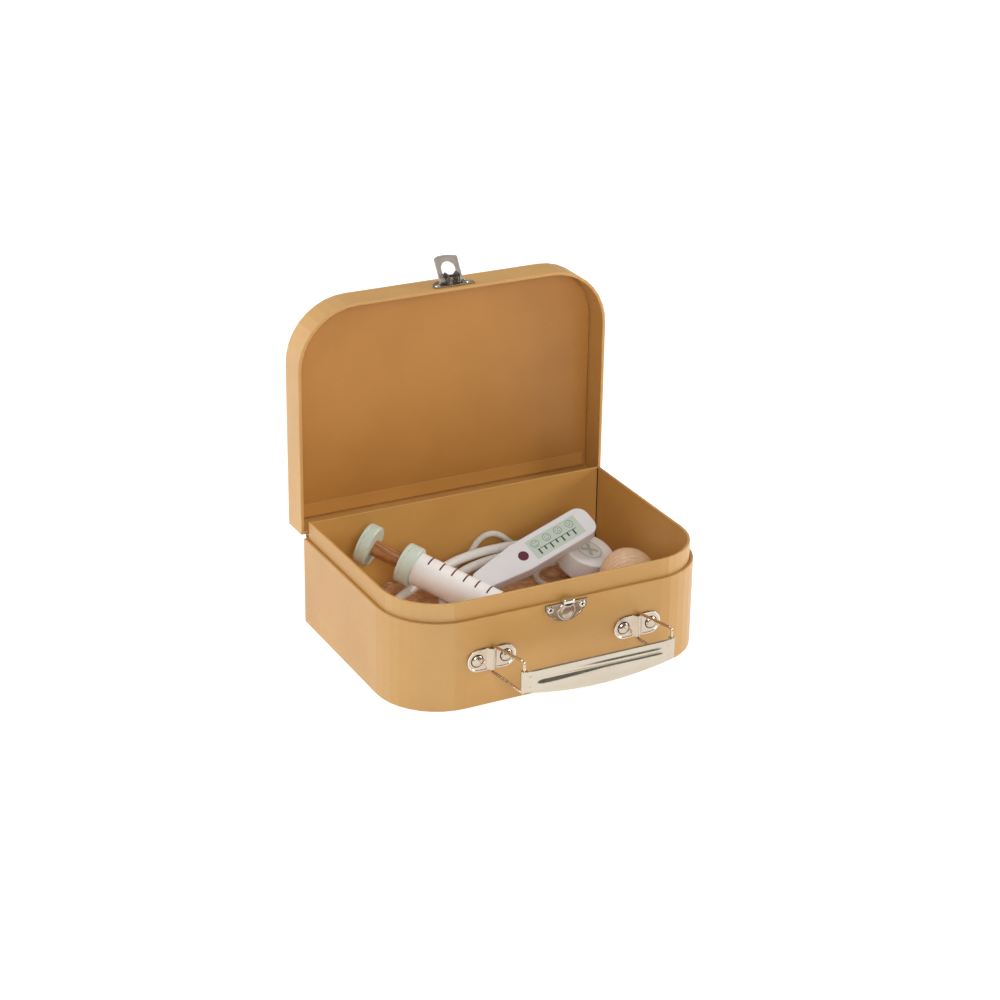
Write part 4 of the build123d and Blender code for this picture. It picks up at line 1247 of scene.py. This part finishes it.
@dataclass
class Thermometer:
    """Prints on the flat thermometer: panel, dot, four plain faces and a scale."""

    end: Point = (84.7, 29.2, 68.6)
    turn: float = 6.4
    rise: float = 16.0
    roll: float = 28.9
    panel: tuple[float, float, float, float] = (-56.0, -10.8, -9.0, 8.6)
    faces_at: tuple[Flat, ...] = ((-50.0, 3.4), (-39.2, 3.4), (-28.6, 3.8), (-17.9, 3.6))
    face_r: float = 3.3
    face_line: float = 0.38
    moods: tuple[float, ...] = (0.9, 0.45, 0.0, -0.7)  # from a smile to a frown
    eye_x: float = 1.1
    eye_y: float = 0.9
    eye_r: float = 0.42
    mouth_half: float = 1.5
    mouth_y: float = -1.2
    mouth_bend: float = 0.8
    dot_at: Flat = (-63.6, -0.4)
    dot_r: float = 4.1
    rule_from: float = -51.4
    rule_to: float = -15.6
    rule_y: float = -1.9
    first_tick: float = -50.3
    tick_step: float = 5.27
    tick_w: float = 1.25
    tick_ends: Flat = (-6.9, -5.3)  # the long and the short ones
    ticks: int = 7
    film: float = 0.03  # the panel's ink, with the finer prints on top of it
    second_film: float = 0.06

    def place(self) -> Matrix:
        """Frame of the face, x along the body and z out of it."""
        t, p, r = (math.radians(v) for v in (self.turn, self.rise, self.roll))
        length = Vector((math.cos(p) * math.cos(t), math.cos(p) * math.sin(t), math.sin(p)))
        side = Vector((0, 0, 1)).cross(length).normalized()
        flat = length.cross(side)
        normal = flat * math.cos(r) - side * math.sin(r)
        across = normal.cross(length)
        place = Matrix((length, across, normal)).transposed().to_4x4()
        place.translation = Vector(self.end)
        return place

    def bar(self, x0: float, y0: float, x1: float, y1: float, width: float, lift: float) -> Part:
        """Straight stroke of ink.

        Args:
            x0: Start x.
            y0: Start y.
            x1: End x.
            y1: End y.
            width: Its width.
            lift: Height of its top above the face.

        Returns:
            Corners and faces.
        """
        a, b = Vector((x0, y0)), Vector((x1, y1))
        n = Vector((a.y - b.y, b.x - a.x)).normalized() * (width / 2)
        corners = [a + n, a - n, b - n, b + n]
        return flat_print([(p.x, p.y) for p in reversed(corners)], self.place(), lift=lift)

    def make_prints(self, finishes: Finishes) -> None:
        """Print the face.

        Args:
            finishes: The finishes.
        """
        x0, x1, y0, y1 = self.panel
        place, film, line = self.place(), self.film, self.second_film
        panel = flat_print([(x0, y0), (x1, y0), (x1, y1), (x0, y1)], place, lift=film)
        add_piece("thermometer_panel_print", panel, finishes.green, Body.CASE)
        dot = flat_print(circle(self.dot_r, *self.dot_at), place, lift=film)
        add_piece("thermometer_dot_print", dot, finishes.maroon, Body.CASE)
        parts = []
        for (x, y), mood in zip(self.faces_at, self.moods):
            r = self.face_r
            parts.append(flat_print(circle(r, x, y), place, circle(r - self.face_line, x, y), line))
            for eye in (-self.eye_x, self.eye_x):
                parts.append(flat_print(circle(self.eye_r, x + eye, y + self.eye_y, 12), place, lift=line))
            mouth = [(x + self.mouth_half * s / 3,
                      y + self.mouth_y - mood * (1 - (s / 3) ** 2) * self.mouth_bend) for s in range(-3, 4)]
            for (ax, ay), (bx, by) in zip(mouth, mouth[1:]):
                parts.append(self.bar(ax, ay, bx, by, 0.4, line))
        add_piece("thermometer_faces_print", joined(parts), finishes.faint, Body.CASE)
        strokes = [self.bar(self.rule_from, self.rule_y, self.rule_to, self.rule_y, 0.5, line)]
        for k in range(self.ticks):
            x = self.first_tick + self.tick_step * k
            strokes.append(self.bar(x, self.rule_y, x, self.tick_ends[k % 2], self.tick_w, 0.07))
        add_piece("thermometer_scale_print", joined(strokes), finishes.dark, Body.CASE)


# ---------------------------------------------------------------- handle


@dataclass
class Handle:
    """Pressed metal handle strip rolled round the bails, bracket rims and rivets."""

    swing: float = 6.5
    reach: float = 39.5
    wire_y: float = -88.15
    half: float = 58.5
    low: float = 27.9
    end_h: float = 15.6
    belly: float = 6.6
    thick: float = 1.0
    curl_r: float = 1.85  # to the middle of the sheet
    crease_drop: float = 8.2
    crease_half: float = 51.0
    crease_tilt: float = 0.5
    crease_deep: Flat = (0.9, 0.7)  # at its broad left end and its narrow right end
    crease_wide: Flat = (1.9, 0.75)
    crown: float = 0.7  # how far the strip bows out between its edges
    swell: Point = (0.55, 2.3, 1.5)  # ridge over the crease: height, place from the crease, width
    fullness: Point = (0.8, -5.6, 3.8)  # the same for the belly below it
    roll: Point = (0.22, -0.8, 0.7)  # the same for the turned top edge, from the top
    hem: Point = (0.18, 0.6, 0.6)  # the same for the turned bottom edge, from the bottom
    dents: tuple[Flat, ...] = ((-54.8, 4.4), (-54.8, -3.6), (55.0, 4.0), (55.0, -3.4))
    dent_deep: float = 0.55
    dent_r: float = 1.3
    curl_turn: float = 330.0  # how far the ends are rolled round the wires
    curl_steps: int = 24
    strip_steps: int = 118
    rows: int = 100
    bracket_x: float = 58.5
    bracket_z: float = 36.0
    bracket_w: float = 38.0
    bracket_h: float = 17.2
    bracket_t: float = 1.0
    rivet_x: float = 11.3
    rivet_head: tuple[Point, ...] = (
        (4.4, -0.1, 0), (4.3, 0.5, 0.25), (3.3, 1.35, 1.2), (1.5, 1.85, 0.8), (0, 1.9, 0))
    rivet_shade_ring: Flat = (4.95, 4.3)  # dark ring of painted shade round a rivet's head, outer and inner radius
    rim_stop: float = 4.6  # the rims end here, clear of the hump's foot and the wire
    rim: tuple[Flat, ...] = (  # inset from the bracket's outline, and height
        (0.0, 0.2), (0.0, 1.0), (0.12, 1.28), (0.5, 1.45), (0.95, 1.38), (1.35, 1.05), (1.5, 0.9))
    wall_y: float = -86.8

    def relief(self, u: float, z: float, top: float, low: float) -> float:
        """How far the pressed strip stands out at a point.

        Args:
            u: Place along the strip from its middle.
            z: Height.
            top: Strip's top there.
            low: Strip's bottom there.

        Returns:
            Height of the relief in millimetres.
        """
        fade = min(1.0, max(0.0, (self.half - 2.5 - abs(u)) / 7.0))
        fade = fade * fade * (3 - 2 * fade)
        middle = (top + low) / 2
        crown = self.crown * (1 - ((z - middle) / max(1.0, (top - low) / 2)) ** 2)
        over = z - (top - self.crease_drop - self.crease_tilt * u / self.half)
        ends = min(1.0, max(0.0, (self.crease_half - abs(u)) / 5.0)) ** 0.7
        thin = min(1.0, max(0.0, (u + 36) / 40))  # 0 where the crease is broad, 1 where it is narrow
        deep, wide = (a + (b - a) * thin for a, b in (self.crease_deep, self.crease_wide))
        groove = -deep * ends * hump(over, wide)
        swell, belly, roll, hem = (
            height * hump(distance - at, width)
            for (height, at, width), distance in ((self.swell, over), (self.fullness, over), (self.roll, z - top),
                                                  (self.hem, z - low)))
        dent = 0.0
        for du, dz in self.dents:
            dent -= self.dent_deep * hump(math.hypot(u - du, z - (self.low + self.end_h / 2 + dz)), self.dent_r)
        return fade * (crown + groove + swell * thin * ends + belly) + roll + hem + dent

    def make_grip(self, finishes: Finishes) -> None:
        """Press the strip and curl its ends round the wires.

        Args:
            finishes: The finishes.
        """
        s = math.radians(self.swing)
        cx, cy = self.reach * math.sin(s), self.wire_y - self.reach * math.cos(s)
        plan = []  # x, y, outward x, outward y, place along
        for side, first in ((-1, -60), (1, -90)):
            if side > 0:
                for i in range(1, self.strip_steps):
                    x = -self.half + 2 * self.half * i / self.strip_steps
                    plan.append((x, -self.curl_r, 0.0, -1.0, x))
            for i in range(self.curl_steps + 1):
                a = math.radians(first + self.curl_turn * i / self.curl_steps)
                plan.append((side * self.half + self.curl_r * math.cos(a), self.curl_r * math.sin(a), math.cos(a),
                             math.sin(a), side * self.half))
        front = np.zeros((len(plan), self.rows, 3))
        back = np.zeros_like(front)
        top = self.low + self.end_h
        for i, (x, y, nx, ny, u) in enumerate(plan):
            flat = abs(u) < self.half
            low = self.low - (self.belly * (1 - (u / self.half) ** 2) if flat else 0.0)
            for j in range(self.rows):
                z = low + (top - low) * j / (self.rows - 1)
                out = self.relief(u, z, top, low) if flat else 0.0
                for grid, lift in ((front, self.thick / 2 + out), (back, out - self.thick / 2)):
                    grid[i, j] = (cx + x + nx * lift, cy + y + ny * lift, z)
        add_piece("handle_grip_pressed", sheet_grid(front, back), finishes.nickel, Body.GRIP,
                  ("handle_grip",), 60)

    def lobe_rim(self, end: int) -> Part:
        """Raised rim round one end of a bracket, which stops short of the hump that holds the wire.

        Args:
            end: -1 for the left end, 1 for the right.

        Returns:
            Corners and faces.
        """
        half = (self.bracket_w - self.bracket_h) / 2
        lines = []
        for inset, height in self.rim:
            r = self.bracket_h / 2 - inset
            turn = [math.radians(180 * k / 24 - 90) for k in range(25)]
            path = [(self.rim_stop, -r)] + [(half + r * math.cos(a), r * math.sin(a)) for a in turn]
            path.append((self.rim_stop, r))
            lines.append([(end * x, y, height) for x, y in path])
        sections = [np.array(section) for section in zip(*lines)]
        return ring_stack(sections if end < 0 else sections[::-1])

    def make_bracket_trim(self, finishes: Finishes) -> None:
        """Raised rims of the brackets, and their domed rivets, each ringed with painted shade.

        Args:
            finishes: The finishes.
        """
        upright = Matrix(((1, 0, 0), (0, 0, -1), (0, 1, 0))).to_4x4()
        rims, heads, shade_rings = [], [], []
        rivet = turned(rounded(list(self.rivet_head)), 48)
        for side in (-1, 1):
            spot = Matrix.Translation((side * self.bracket_x, self.wall_y, self.bracket_z)) @ upright
            rims += [placed(self.lobe_rim(end), spot) for end in (-1, 1)]
            for x in (-self.rivet_x, self.rivet_x):
                at = spot @ Matrix.Translation((x, 0, self.bracket_t))
                heads.append(placed(rivet, at))
                shade_rings.append(flat_print(circle(self.rivet_shade_ring[0]), at, circle(self.rivet_shade_ring[1]), 0.06))
        add_piece("bracket_rims", joined(rims), finishes.lit_nickel, Body.CASE)
        # a flat dark ring round each rivet head: painted shade
        add_piece("bracket_rivet_painted_shade", joined(shade_rings), finishes.bore, Body.CASE)
        add_piece("bracket_rivet_heads", joined(heads), finishes.bracket, Body.CASE,
                  ("bracket_rivets",), 50)


# ---------------------------------------------------------------- latch and catch


@dataclass
class LatchAndCatch:
    """Rims and rivets of the two pressed plates, and the catch's rolled hook and dished cup."""

    plate_w: float = 33.0
    plate_h: float = 14.6
    plate_t: float = 0.8
    rivet_x: float = 12.7
    rivet_in: float = 3.8
    catch_y: float = -86.8
    catch_z: float = 66.7
    latch_y: float = 91.1
    latch_z: float = 244.2
    side_h: float = 4.2  # straight part of the plates' short sides
    rim: tuple[Flat, ...] = (  # inset from the plate's outline, and height over its face
        (0.0, -0.7), (0.0, 0.0), (0.1, 0.16), (0.4, 0.26), (0.8, 0.16), (1.05, -0.05))
    eyelet: tuple[Point, ...] = (
        (2.6, 0, 0), (2.6, 0.3, 0.2), (2.1, 1.0, 0.6), (1.35, 1.2, 0.4), (1.0, 0.5, 0.2), (0, 0.4, 0))
    # dark disc of painted shade in each eyelet's hole
    bore: tuple[Flat, ...] = ((0, 0.55), (0.95, 0.55), (0.95, 0.2), (0, 0.2))
    dome: tuple[Point, ...] = ((2.6, 0, 0), (2.5, 0.5, 0.4), (1.6, 1.15, 0.8), (0, 1.3, 0))
    cup: tuple[Point, ...] = (
        (7.4, 0, 0), (7.0, 0.7, 0.5), (6.2, 1.15, 0.6), (5.0, 1.0, 0.6), (3.0, 0.5, 1.2), (0, 0.35, 0))
    cup_up: float = 0.6  # the cup sits this far above the plate's middle
    hood_half: float = 4.6
    hood_flat: float = 2.0  # half of the level part of its arch
    hood_fall: float = 2.2
    hood_top: float = -3.7
    hood_foot: float = -0.9
    hood_out: float = 5.3
    hook_steps: int = 24
    hook_gap: float = 0.25  # left between the tongue and the hasp's hole
    tongue_out: float = 4.2
    tongue_size: Flat = (0.85, 1.1)
    slot_out: float = 3.7
    slot_share: float = 0.93  # of the tongue's width, for the dark block of painted shade
    arch_r: float = 4.9  # room for the hook in the hasp's arched hole when the latch is shut
    arch_y: float = -2.35
    tongue_half: float = 4.2

    def catch_place(self) -> Matrix:
        """Frame of the catch plate: y down from its straight edge, z out of the wall."""
        place = Matrix(((-1, 0, 0), (0, 0, -1), (0, -1, 0))).to_4x4()
        place.translation = Vector((0, self.catch_y, self.catch_z))
        return place

    def latch_place(self) -> Matrix:
        """Frame of the latch plate on the open lid: y back from its straight edge, z up."""
        place = Matrix.Identity(4)
        place.translation = Vector((0, self.latch_y, self.latch_z - self.plate_t))
        return place

    def outline(self, inset: float, steps: int = 40) -> list[Flat]:
        """Outline of a pressed plate: a straight edge, short sides and an arched back.

        Args:
            inset: How far inside the outline.
            steps: Points along the arch.

        Returns:
            The points, counter-clockwise.
        """
        half = self.plate_w / 2
        rise = self.plate_h - self.side_h
        radius = (half ** 2 + rise ** 2) / (2 * rise)
        centre = self.plate_h - radius
        points = [(-half + inset, inset), (half - inset, inset)]
        reach = math.asin((half - inset) / (radius - inset))
        for i in range(steps + 1):
            a = reach - 2 * reach * i / steps
            points.append(((radius - inset) * math.sin(a), centre + (radius - inset) * math.cos(a)))
        return points

    def make_hook(self, finishes: Finishes) -> None:
        """Roll the catch's hook: an arched hood with a dark block of painted shade under it, and the tongue below it.

        Args:
            finishes: The finishes.
        """
        hood, slot, tongue = [], [], []
        t, out, foot = self.plate_t, self.hood_out, self.hood_foot
        deep, thick = self.tongue_size
        for i in range(self.hook_steps + 1):
            x = -self.hood_half + 2 * self.hood_half * i / self.hook_steps
            bend = min(1.0, max(0.0, abs(x) - self.hood_flat) / (self.hood_half - self.hood_flat))
            top = self.hood_fall * (1 - math.sqrt(1 - bend ** 2 * 0.98)) + self.hood_top
            hood.append(np.array([(x, top, t), (x, top, out - 0.8), (x, top + 0.25, out - 0.3),
                                  (x, top + 0.8, out), (x, foot, out), (x, foot, t)]))
            wide = x * self.tongue_half / self.hood_half
            low = self.arch_y + math.sqrt(self.arch_r ** 2 - wide ** 2) - self.hook_gap
            near = 1.0 - 0.6 * (wide / self.tongue_half) ** 2
            ring = [(wide, y * near + low - deep * near, z * near + self.tongue_out)
                    for y, z in ((deep * math.cos(a), thick * math.sin(a))
                                 for a in (2 * math.pi * k / 16 for k in range(16)))]
            tongue.append(np.array(ring[::-1]))
            dark, end = self.slot_share * wide, low - 0.2
            slot.append(np.array([(dark, -1.0, t), (dark, -1.0, self.slot_out), (dark, end, self.slot_out),
                                  (dark, end, t)]))
        place = self.catch_place()
        hook = placed(joined([ring_stack(hood), ring_stack(tongue)]), place)
        add_piece("catch_hook_rolled", hook, finishes.lit_nickel, Body.CASE, ("catch_hook",), 50)
        # painted shade: a dark block in the opening under the hood
        add_piece("catch_hook_slot_shade", placed(ring_stack(slot), place), finishes.bore, Body.CASE)

    def at_rivets(self, part: Part, place: Matrix) -> Part:
        """Copy a part to both rivets of a plate.

        Args:
            part: Corners and faces about the rivet's axis.
            place: The plate's frame.

        Returns:
            Corners and faces of both.
        """
        return joined([placed(part, place @ Matrix.Translation((x, self.rivet_in, self.plate_t)))
                       for x in (-self.rivet_x, self.rivet_x)])

    def make_trim(self, finishes: Finishes) -> None:
        """Rims, rivets with painted shade in their eyelets, and the catch's dished cup.

        Args:
            finishes: The finishes.
        """
        t = self.plate_t
        rim = ring_stack([np.array([(x, y, t + height) for x, y in self.outline(inset)])
                          for inset, height in self.rim], False, False)
        for name, place, head, body in (("catch", self.catch_place(), self.eyelet, Body.CASE),
                                        ("latch", self.latch_place(), self.dome, Body.LID)):
            add_piece(f"{name}_plate_rim", placed(rim, place), finishes.lit_nickel, body)
            heads = self.at_rivets(turned(rounded(list(head)), 40), place)
            add_piece(f"{name}_rivet_heads", heads, finishes.lit_nickel, body, (f"{name}_rivets",), 50)
        place = self.catch_place()
        # painted shade: a dark disc in each eyelet's hole
        bore_shades = self.at_rivets(turned(list(self.bore), 24), place)
        add_piece("catch_rivet_bore_shade", bore_shades, finishes.bore, Body.CASE)
        self.make_hook(finishes)
        middle = place @ Matrix.Translation((0, self.plate_h / 2 - self.cup_up, t))
        add_piece("catch_cup_dished", placed(turned(rounded(list(self.cup)), 64), middle), finishes.shaded_nickel,
                  Body.CASE, ("catch_cup",), 50)


# ---------------------------------------------------------------- paper bed


@dataclass
class PaperBed:
    """Crumpled packing paper that fills the lower half of the case."""

    half_w: float = 119.6
    half_d: float = 81.4
    corner_r: float = 41.6
    floor_z: float = 3.3
    height: float = 15.5
    rise: float = 0.10
    step: float = 1.6
    broad: Flat = (24.0, 20.0)  # size of the folds across and along, from broad to fine
    narrow: Flat = (11.0, 9.0)
    fine: Flat = (4.0, 3.5)
    mounds: tuple[tuple[float, float, float, float], ...] = (
        (88.0, -24.0, 19.1, 60.0), (86.0, 12.0, 20.3, 45.0), (-13.0, -14.0, 17.1, 12.0))

    def inside(self, x: float, y: float) -> bool:
        """Whether a point lies on the case's plan.

        Args:
            x: Across the case.
            y: From front to back.

        Returns:
            True inside it.
        """
        if abs(x) > self.half_w or abs(y) > self.half_d:
            return False
        cx, cy = self.half_w - self.corner_r, -self.half_d + self.corner_r
        if y < cy and abs(x) > cx:
            return math.hypot(abs(x) - cx, y - cy) <= self.corner_r
        return True

    def top(self, x: float, y: float) -> float:
        """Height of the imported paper.

        Args:
            x: Across the case.
            y: From front to back.

        Returns:
            Height in millimetres.
        """
        z = self.height + self.rise * y
        for mx, my, peak, radius in self.mounds:
            d = math.hypot(x - mx, y - my)
            if d < radius:
                z = max(z, peak - radius + math.sqrt(radius ** 2 - d ** 2))
        return z

    def crumple(self, x: float, y: float) -> float:
        """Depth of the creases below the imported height.

        Args:
            x: Across the case.
            y: From front to back.

        Returns:
            Depth in millimetres.
        """
        ridge = 1 - abs(noise.noise(Vector((x / self.broad[0], y / self.broad[1], 0.3)))) * 2.2
        fold = 1 - abs(noise.noise(Vector((x / self.narrow[0] + 5, y / self.narrow[1] - 2, 1.7)))) * 2.0
        fine = noise.noise(Vector((x / self.fine[0], y / self.fine[1], 4.1)))
        return max(0.0, 3.6 - 2.6 * ridge + 1.9 - 1.7 * fold + 0.5 * fine)

    def make(self, finishes: Finishes) -> None:
        """Fold the paper.

        Args:
            finishes: The finishes.
        """
        cols = int(2 * self.half_w / self.step) + 1
        rows = int(2 * self.half_d / self.step) + 1
        points: list[Point] = []
        index: dict[tuple[int, int], int] = {}
        for j in range(rows):
            for i in range(cols):
                x = -self.half_w + 2 * self.half_w * i / (cols - 1)
                y = -self.half_d + 2 * self.half_d * j / (rows - 1)
                if self.inside(x, y):
                    index[(i, j)] = len(points)
                    points.append((x, y, self.top(x, y) - self.crumple(x, y)))
        faces: Faces = []
        edges: dict[tuple[int, int], None] = {}  # ends of each edge that only one face has, in order
        for (i, j), a in index.items():
            quad = [a, index.get((i + 1, j)), index.get((i + 1, j + 1)), index.get((i, j + 1))]
            if None in quad:
                continue
            faces.append(tuple(quad))
            for p, q in zip(quad, quad[1:] + quad[:1]):
                if (q, p) in edges:
                    del edges[(q, p)]
                else:
                    edges[(p, q)] = None
        base: dict[int, int] = {}  # corner of the border to the one below it on the floor
        for edge in edges:
            for corner in edge:
                if corner not in base:
                    base[corner] = len(points)
                    points.append((points[corner][0], points[corner][1], self.floor_z))
        faces += [(q, p, base[p], base[q]) for p, q in edges]
        following = {p: q for p, q in edges}
        start = next(iter(following))
        loop, at = [base[start]], following[start]
        while at != start:
            loop.append(base[at])
            at = following[at]
        faces.append(tuple(reversed(loop)))
        add_piece("paper_bed_crumpled", (np.array(points), faces), finishes.paper, Body.CASE,
                  ("paper_bed",), 75)


# ---------------------------------------------------------------- case


@dataclass
class Case:
    """Finishes of the carried-over pieces, and the paper work on the board."""

    liner_x: float = 120.2
    liner_y: float = 82.0
    liner_top: float = 81.4
    # a dark block of painted shade fills each open back corner joint of the liner
    seam: float = 0.5
    seam_low: float = 3.4
    lining_y: float = 108.3
    strip_half: float = 120.5
    strip_low: float = 74.4
    strip_high: float = 84.6
    strip_t: float = 0.25

    def dress(self, nodes: dict[str, bpy.types.Object], finishes: Finishes) -> None:
        """Give each carried-over piece its finish.

        Args:
            nodes: The frame's pieces by name.
            finishes: The finishes.
        """
        groups = (
            (finishes.board, ("base_wall", "base_floor")),
            (finishes.rim, ("lid_wall", "lid_panel")),
            (finishes.lid_lining, ("lid_lining",)),
            (finishes.liner, ("base_liner", "floor_lining")),
            (finishes.tape, ("hinge_tape_base", "hinge_tape_lid")),
            (finishes.nickel, ("latch_pin", "catch_rivets", "latch_rivets", "handle_grip")),
            (finishes.bracket, ("handle_bracket_left", "handle_bracket_right", "bracket_rivets")),
            # lighter copy of the nickel: painted highlight
            (finishes.lit_nickel, ("catch_hook",)),
            # darker copy of the nickel: painted shade
            (finishes.shaded_nickel, ("catch_plate", "latch_plate", "catch_cup")),
            # dark as painted shade, pale edges as wear and painted highlight
            (finishes.bridge, ("latch_bridge",)),
            (finishes.satin, ("latch_hasp",)),
            (finishes.wire, ("bail_left", "bail_right")),
            (finishes.sage, ("plunger_knob", "syringe_flange")),
            (finishes.cool_white, ("thermometer_body",)),
            (finishes.white, ("syringe_barrel", "syringe_nozzle", "chest_piece",
                              "chest_piece_disc", "stethoscope_yoke")),
            (finishes.brown, ("plunger_rod", "plunger_piston")),
            (finishes.brown_hammer, ("hammer_handle",)),
            (finishes.beech, ("hammer_head",)),
            (finishes.tube, ("headset_tube_long", "headset_tube_short")),
            (finishes.tip, ("ear_tip_long", "ear_tip_short")),
            (finishes.cotton, ("stethoscope_rope",)),
            (finishes.paper, ("paper_bed",)),
        )
        dressed = set()
        for material, names in groups:
            for name in names:
                mesh = nodes[name].data
                mesh.materials.clear()
                mesh.materials.append(material)
                dressed.add(name)
                LOG.info("%s: %s", name, material.name)
        for name in set(nodes) - dressed:
            LOG.warning("%s has no finish", name)

    @staticmethod
    def block(low: Point, high: Point) -> Part:
        """Box between two corners.

        Args:
            low: Low corner.
            high: High corner.

        Returns:
            Corners and faces.
        """
        (x0, y0, z0), (x1, y1, z1) = low, high
        return ring_stack([np.array([(x0, y0, z), (x1, y0, z), (x1, y1, z), (x0, y1, z)]) for z in (z0, z1)])

    def make_paper_work(self, finishes: Finishes) -> None:
        """Dark blocks of painted shade in the open joints of the liner's back corners, and the paper strip inside the
        hinge.

        Args:
            finishes: The finishes.
        """
        joints = []
        for side in (-1, 1):
            x0, x1 = sorted((side * self.liner_x, side * (self.liner_x - self.seam)))
            joints.append(self.block((x0, self.liner_y - self.seam, self.seam_low),
                                     (x1, self.liner_y, self.liner_top)))
        # painted shade in the open corner joints
        add_piece("liner_corner_joint_shade", joined(joints), finishes.bore, Body.CASE)
        strip = self.block((-self.strip_half, self.lining_y - self.strip_t, self.strip_low),
                           (self.strip_half, self.lining_y, self.strip_high))
        add_piece("hinge_strip_inside", strip, finishes.strip, Body.LID)


def main() -> None:
    """Build every sub-assembly in order."""
    logging.basicConfig(level=logging.INFO, format="%(name)s %(message)s", force=True)
    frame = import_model()
    studio = Studio()
    studio.set_camera()
    finishes = Finishes()
    stethoscope = Stethoscope()
    stethoscope.make_cord(finishes)
    case = Case()
    case.dress(frame["nodes"], finishes)
    case.make_paper_work(finishes)
    stethoscope.make_chest_piece(finishes)
    syringe = Syringe()
    syringe.make_knob(finishes)
    syringe.make_flange(finishes)
    syringe.print_scale(finishes)
    Thermometer().make_prints(finishes)
    handle = Handle()
    handle.make_grip(finishes)
    handle.make_bracket_trim(finishes)
    LatchAndCatch().make_trim(finishes)
    PaperBed().make(finishes)
    studio.set_lights(finishes)


if __name__ == "__main__":
    main()
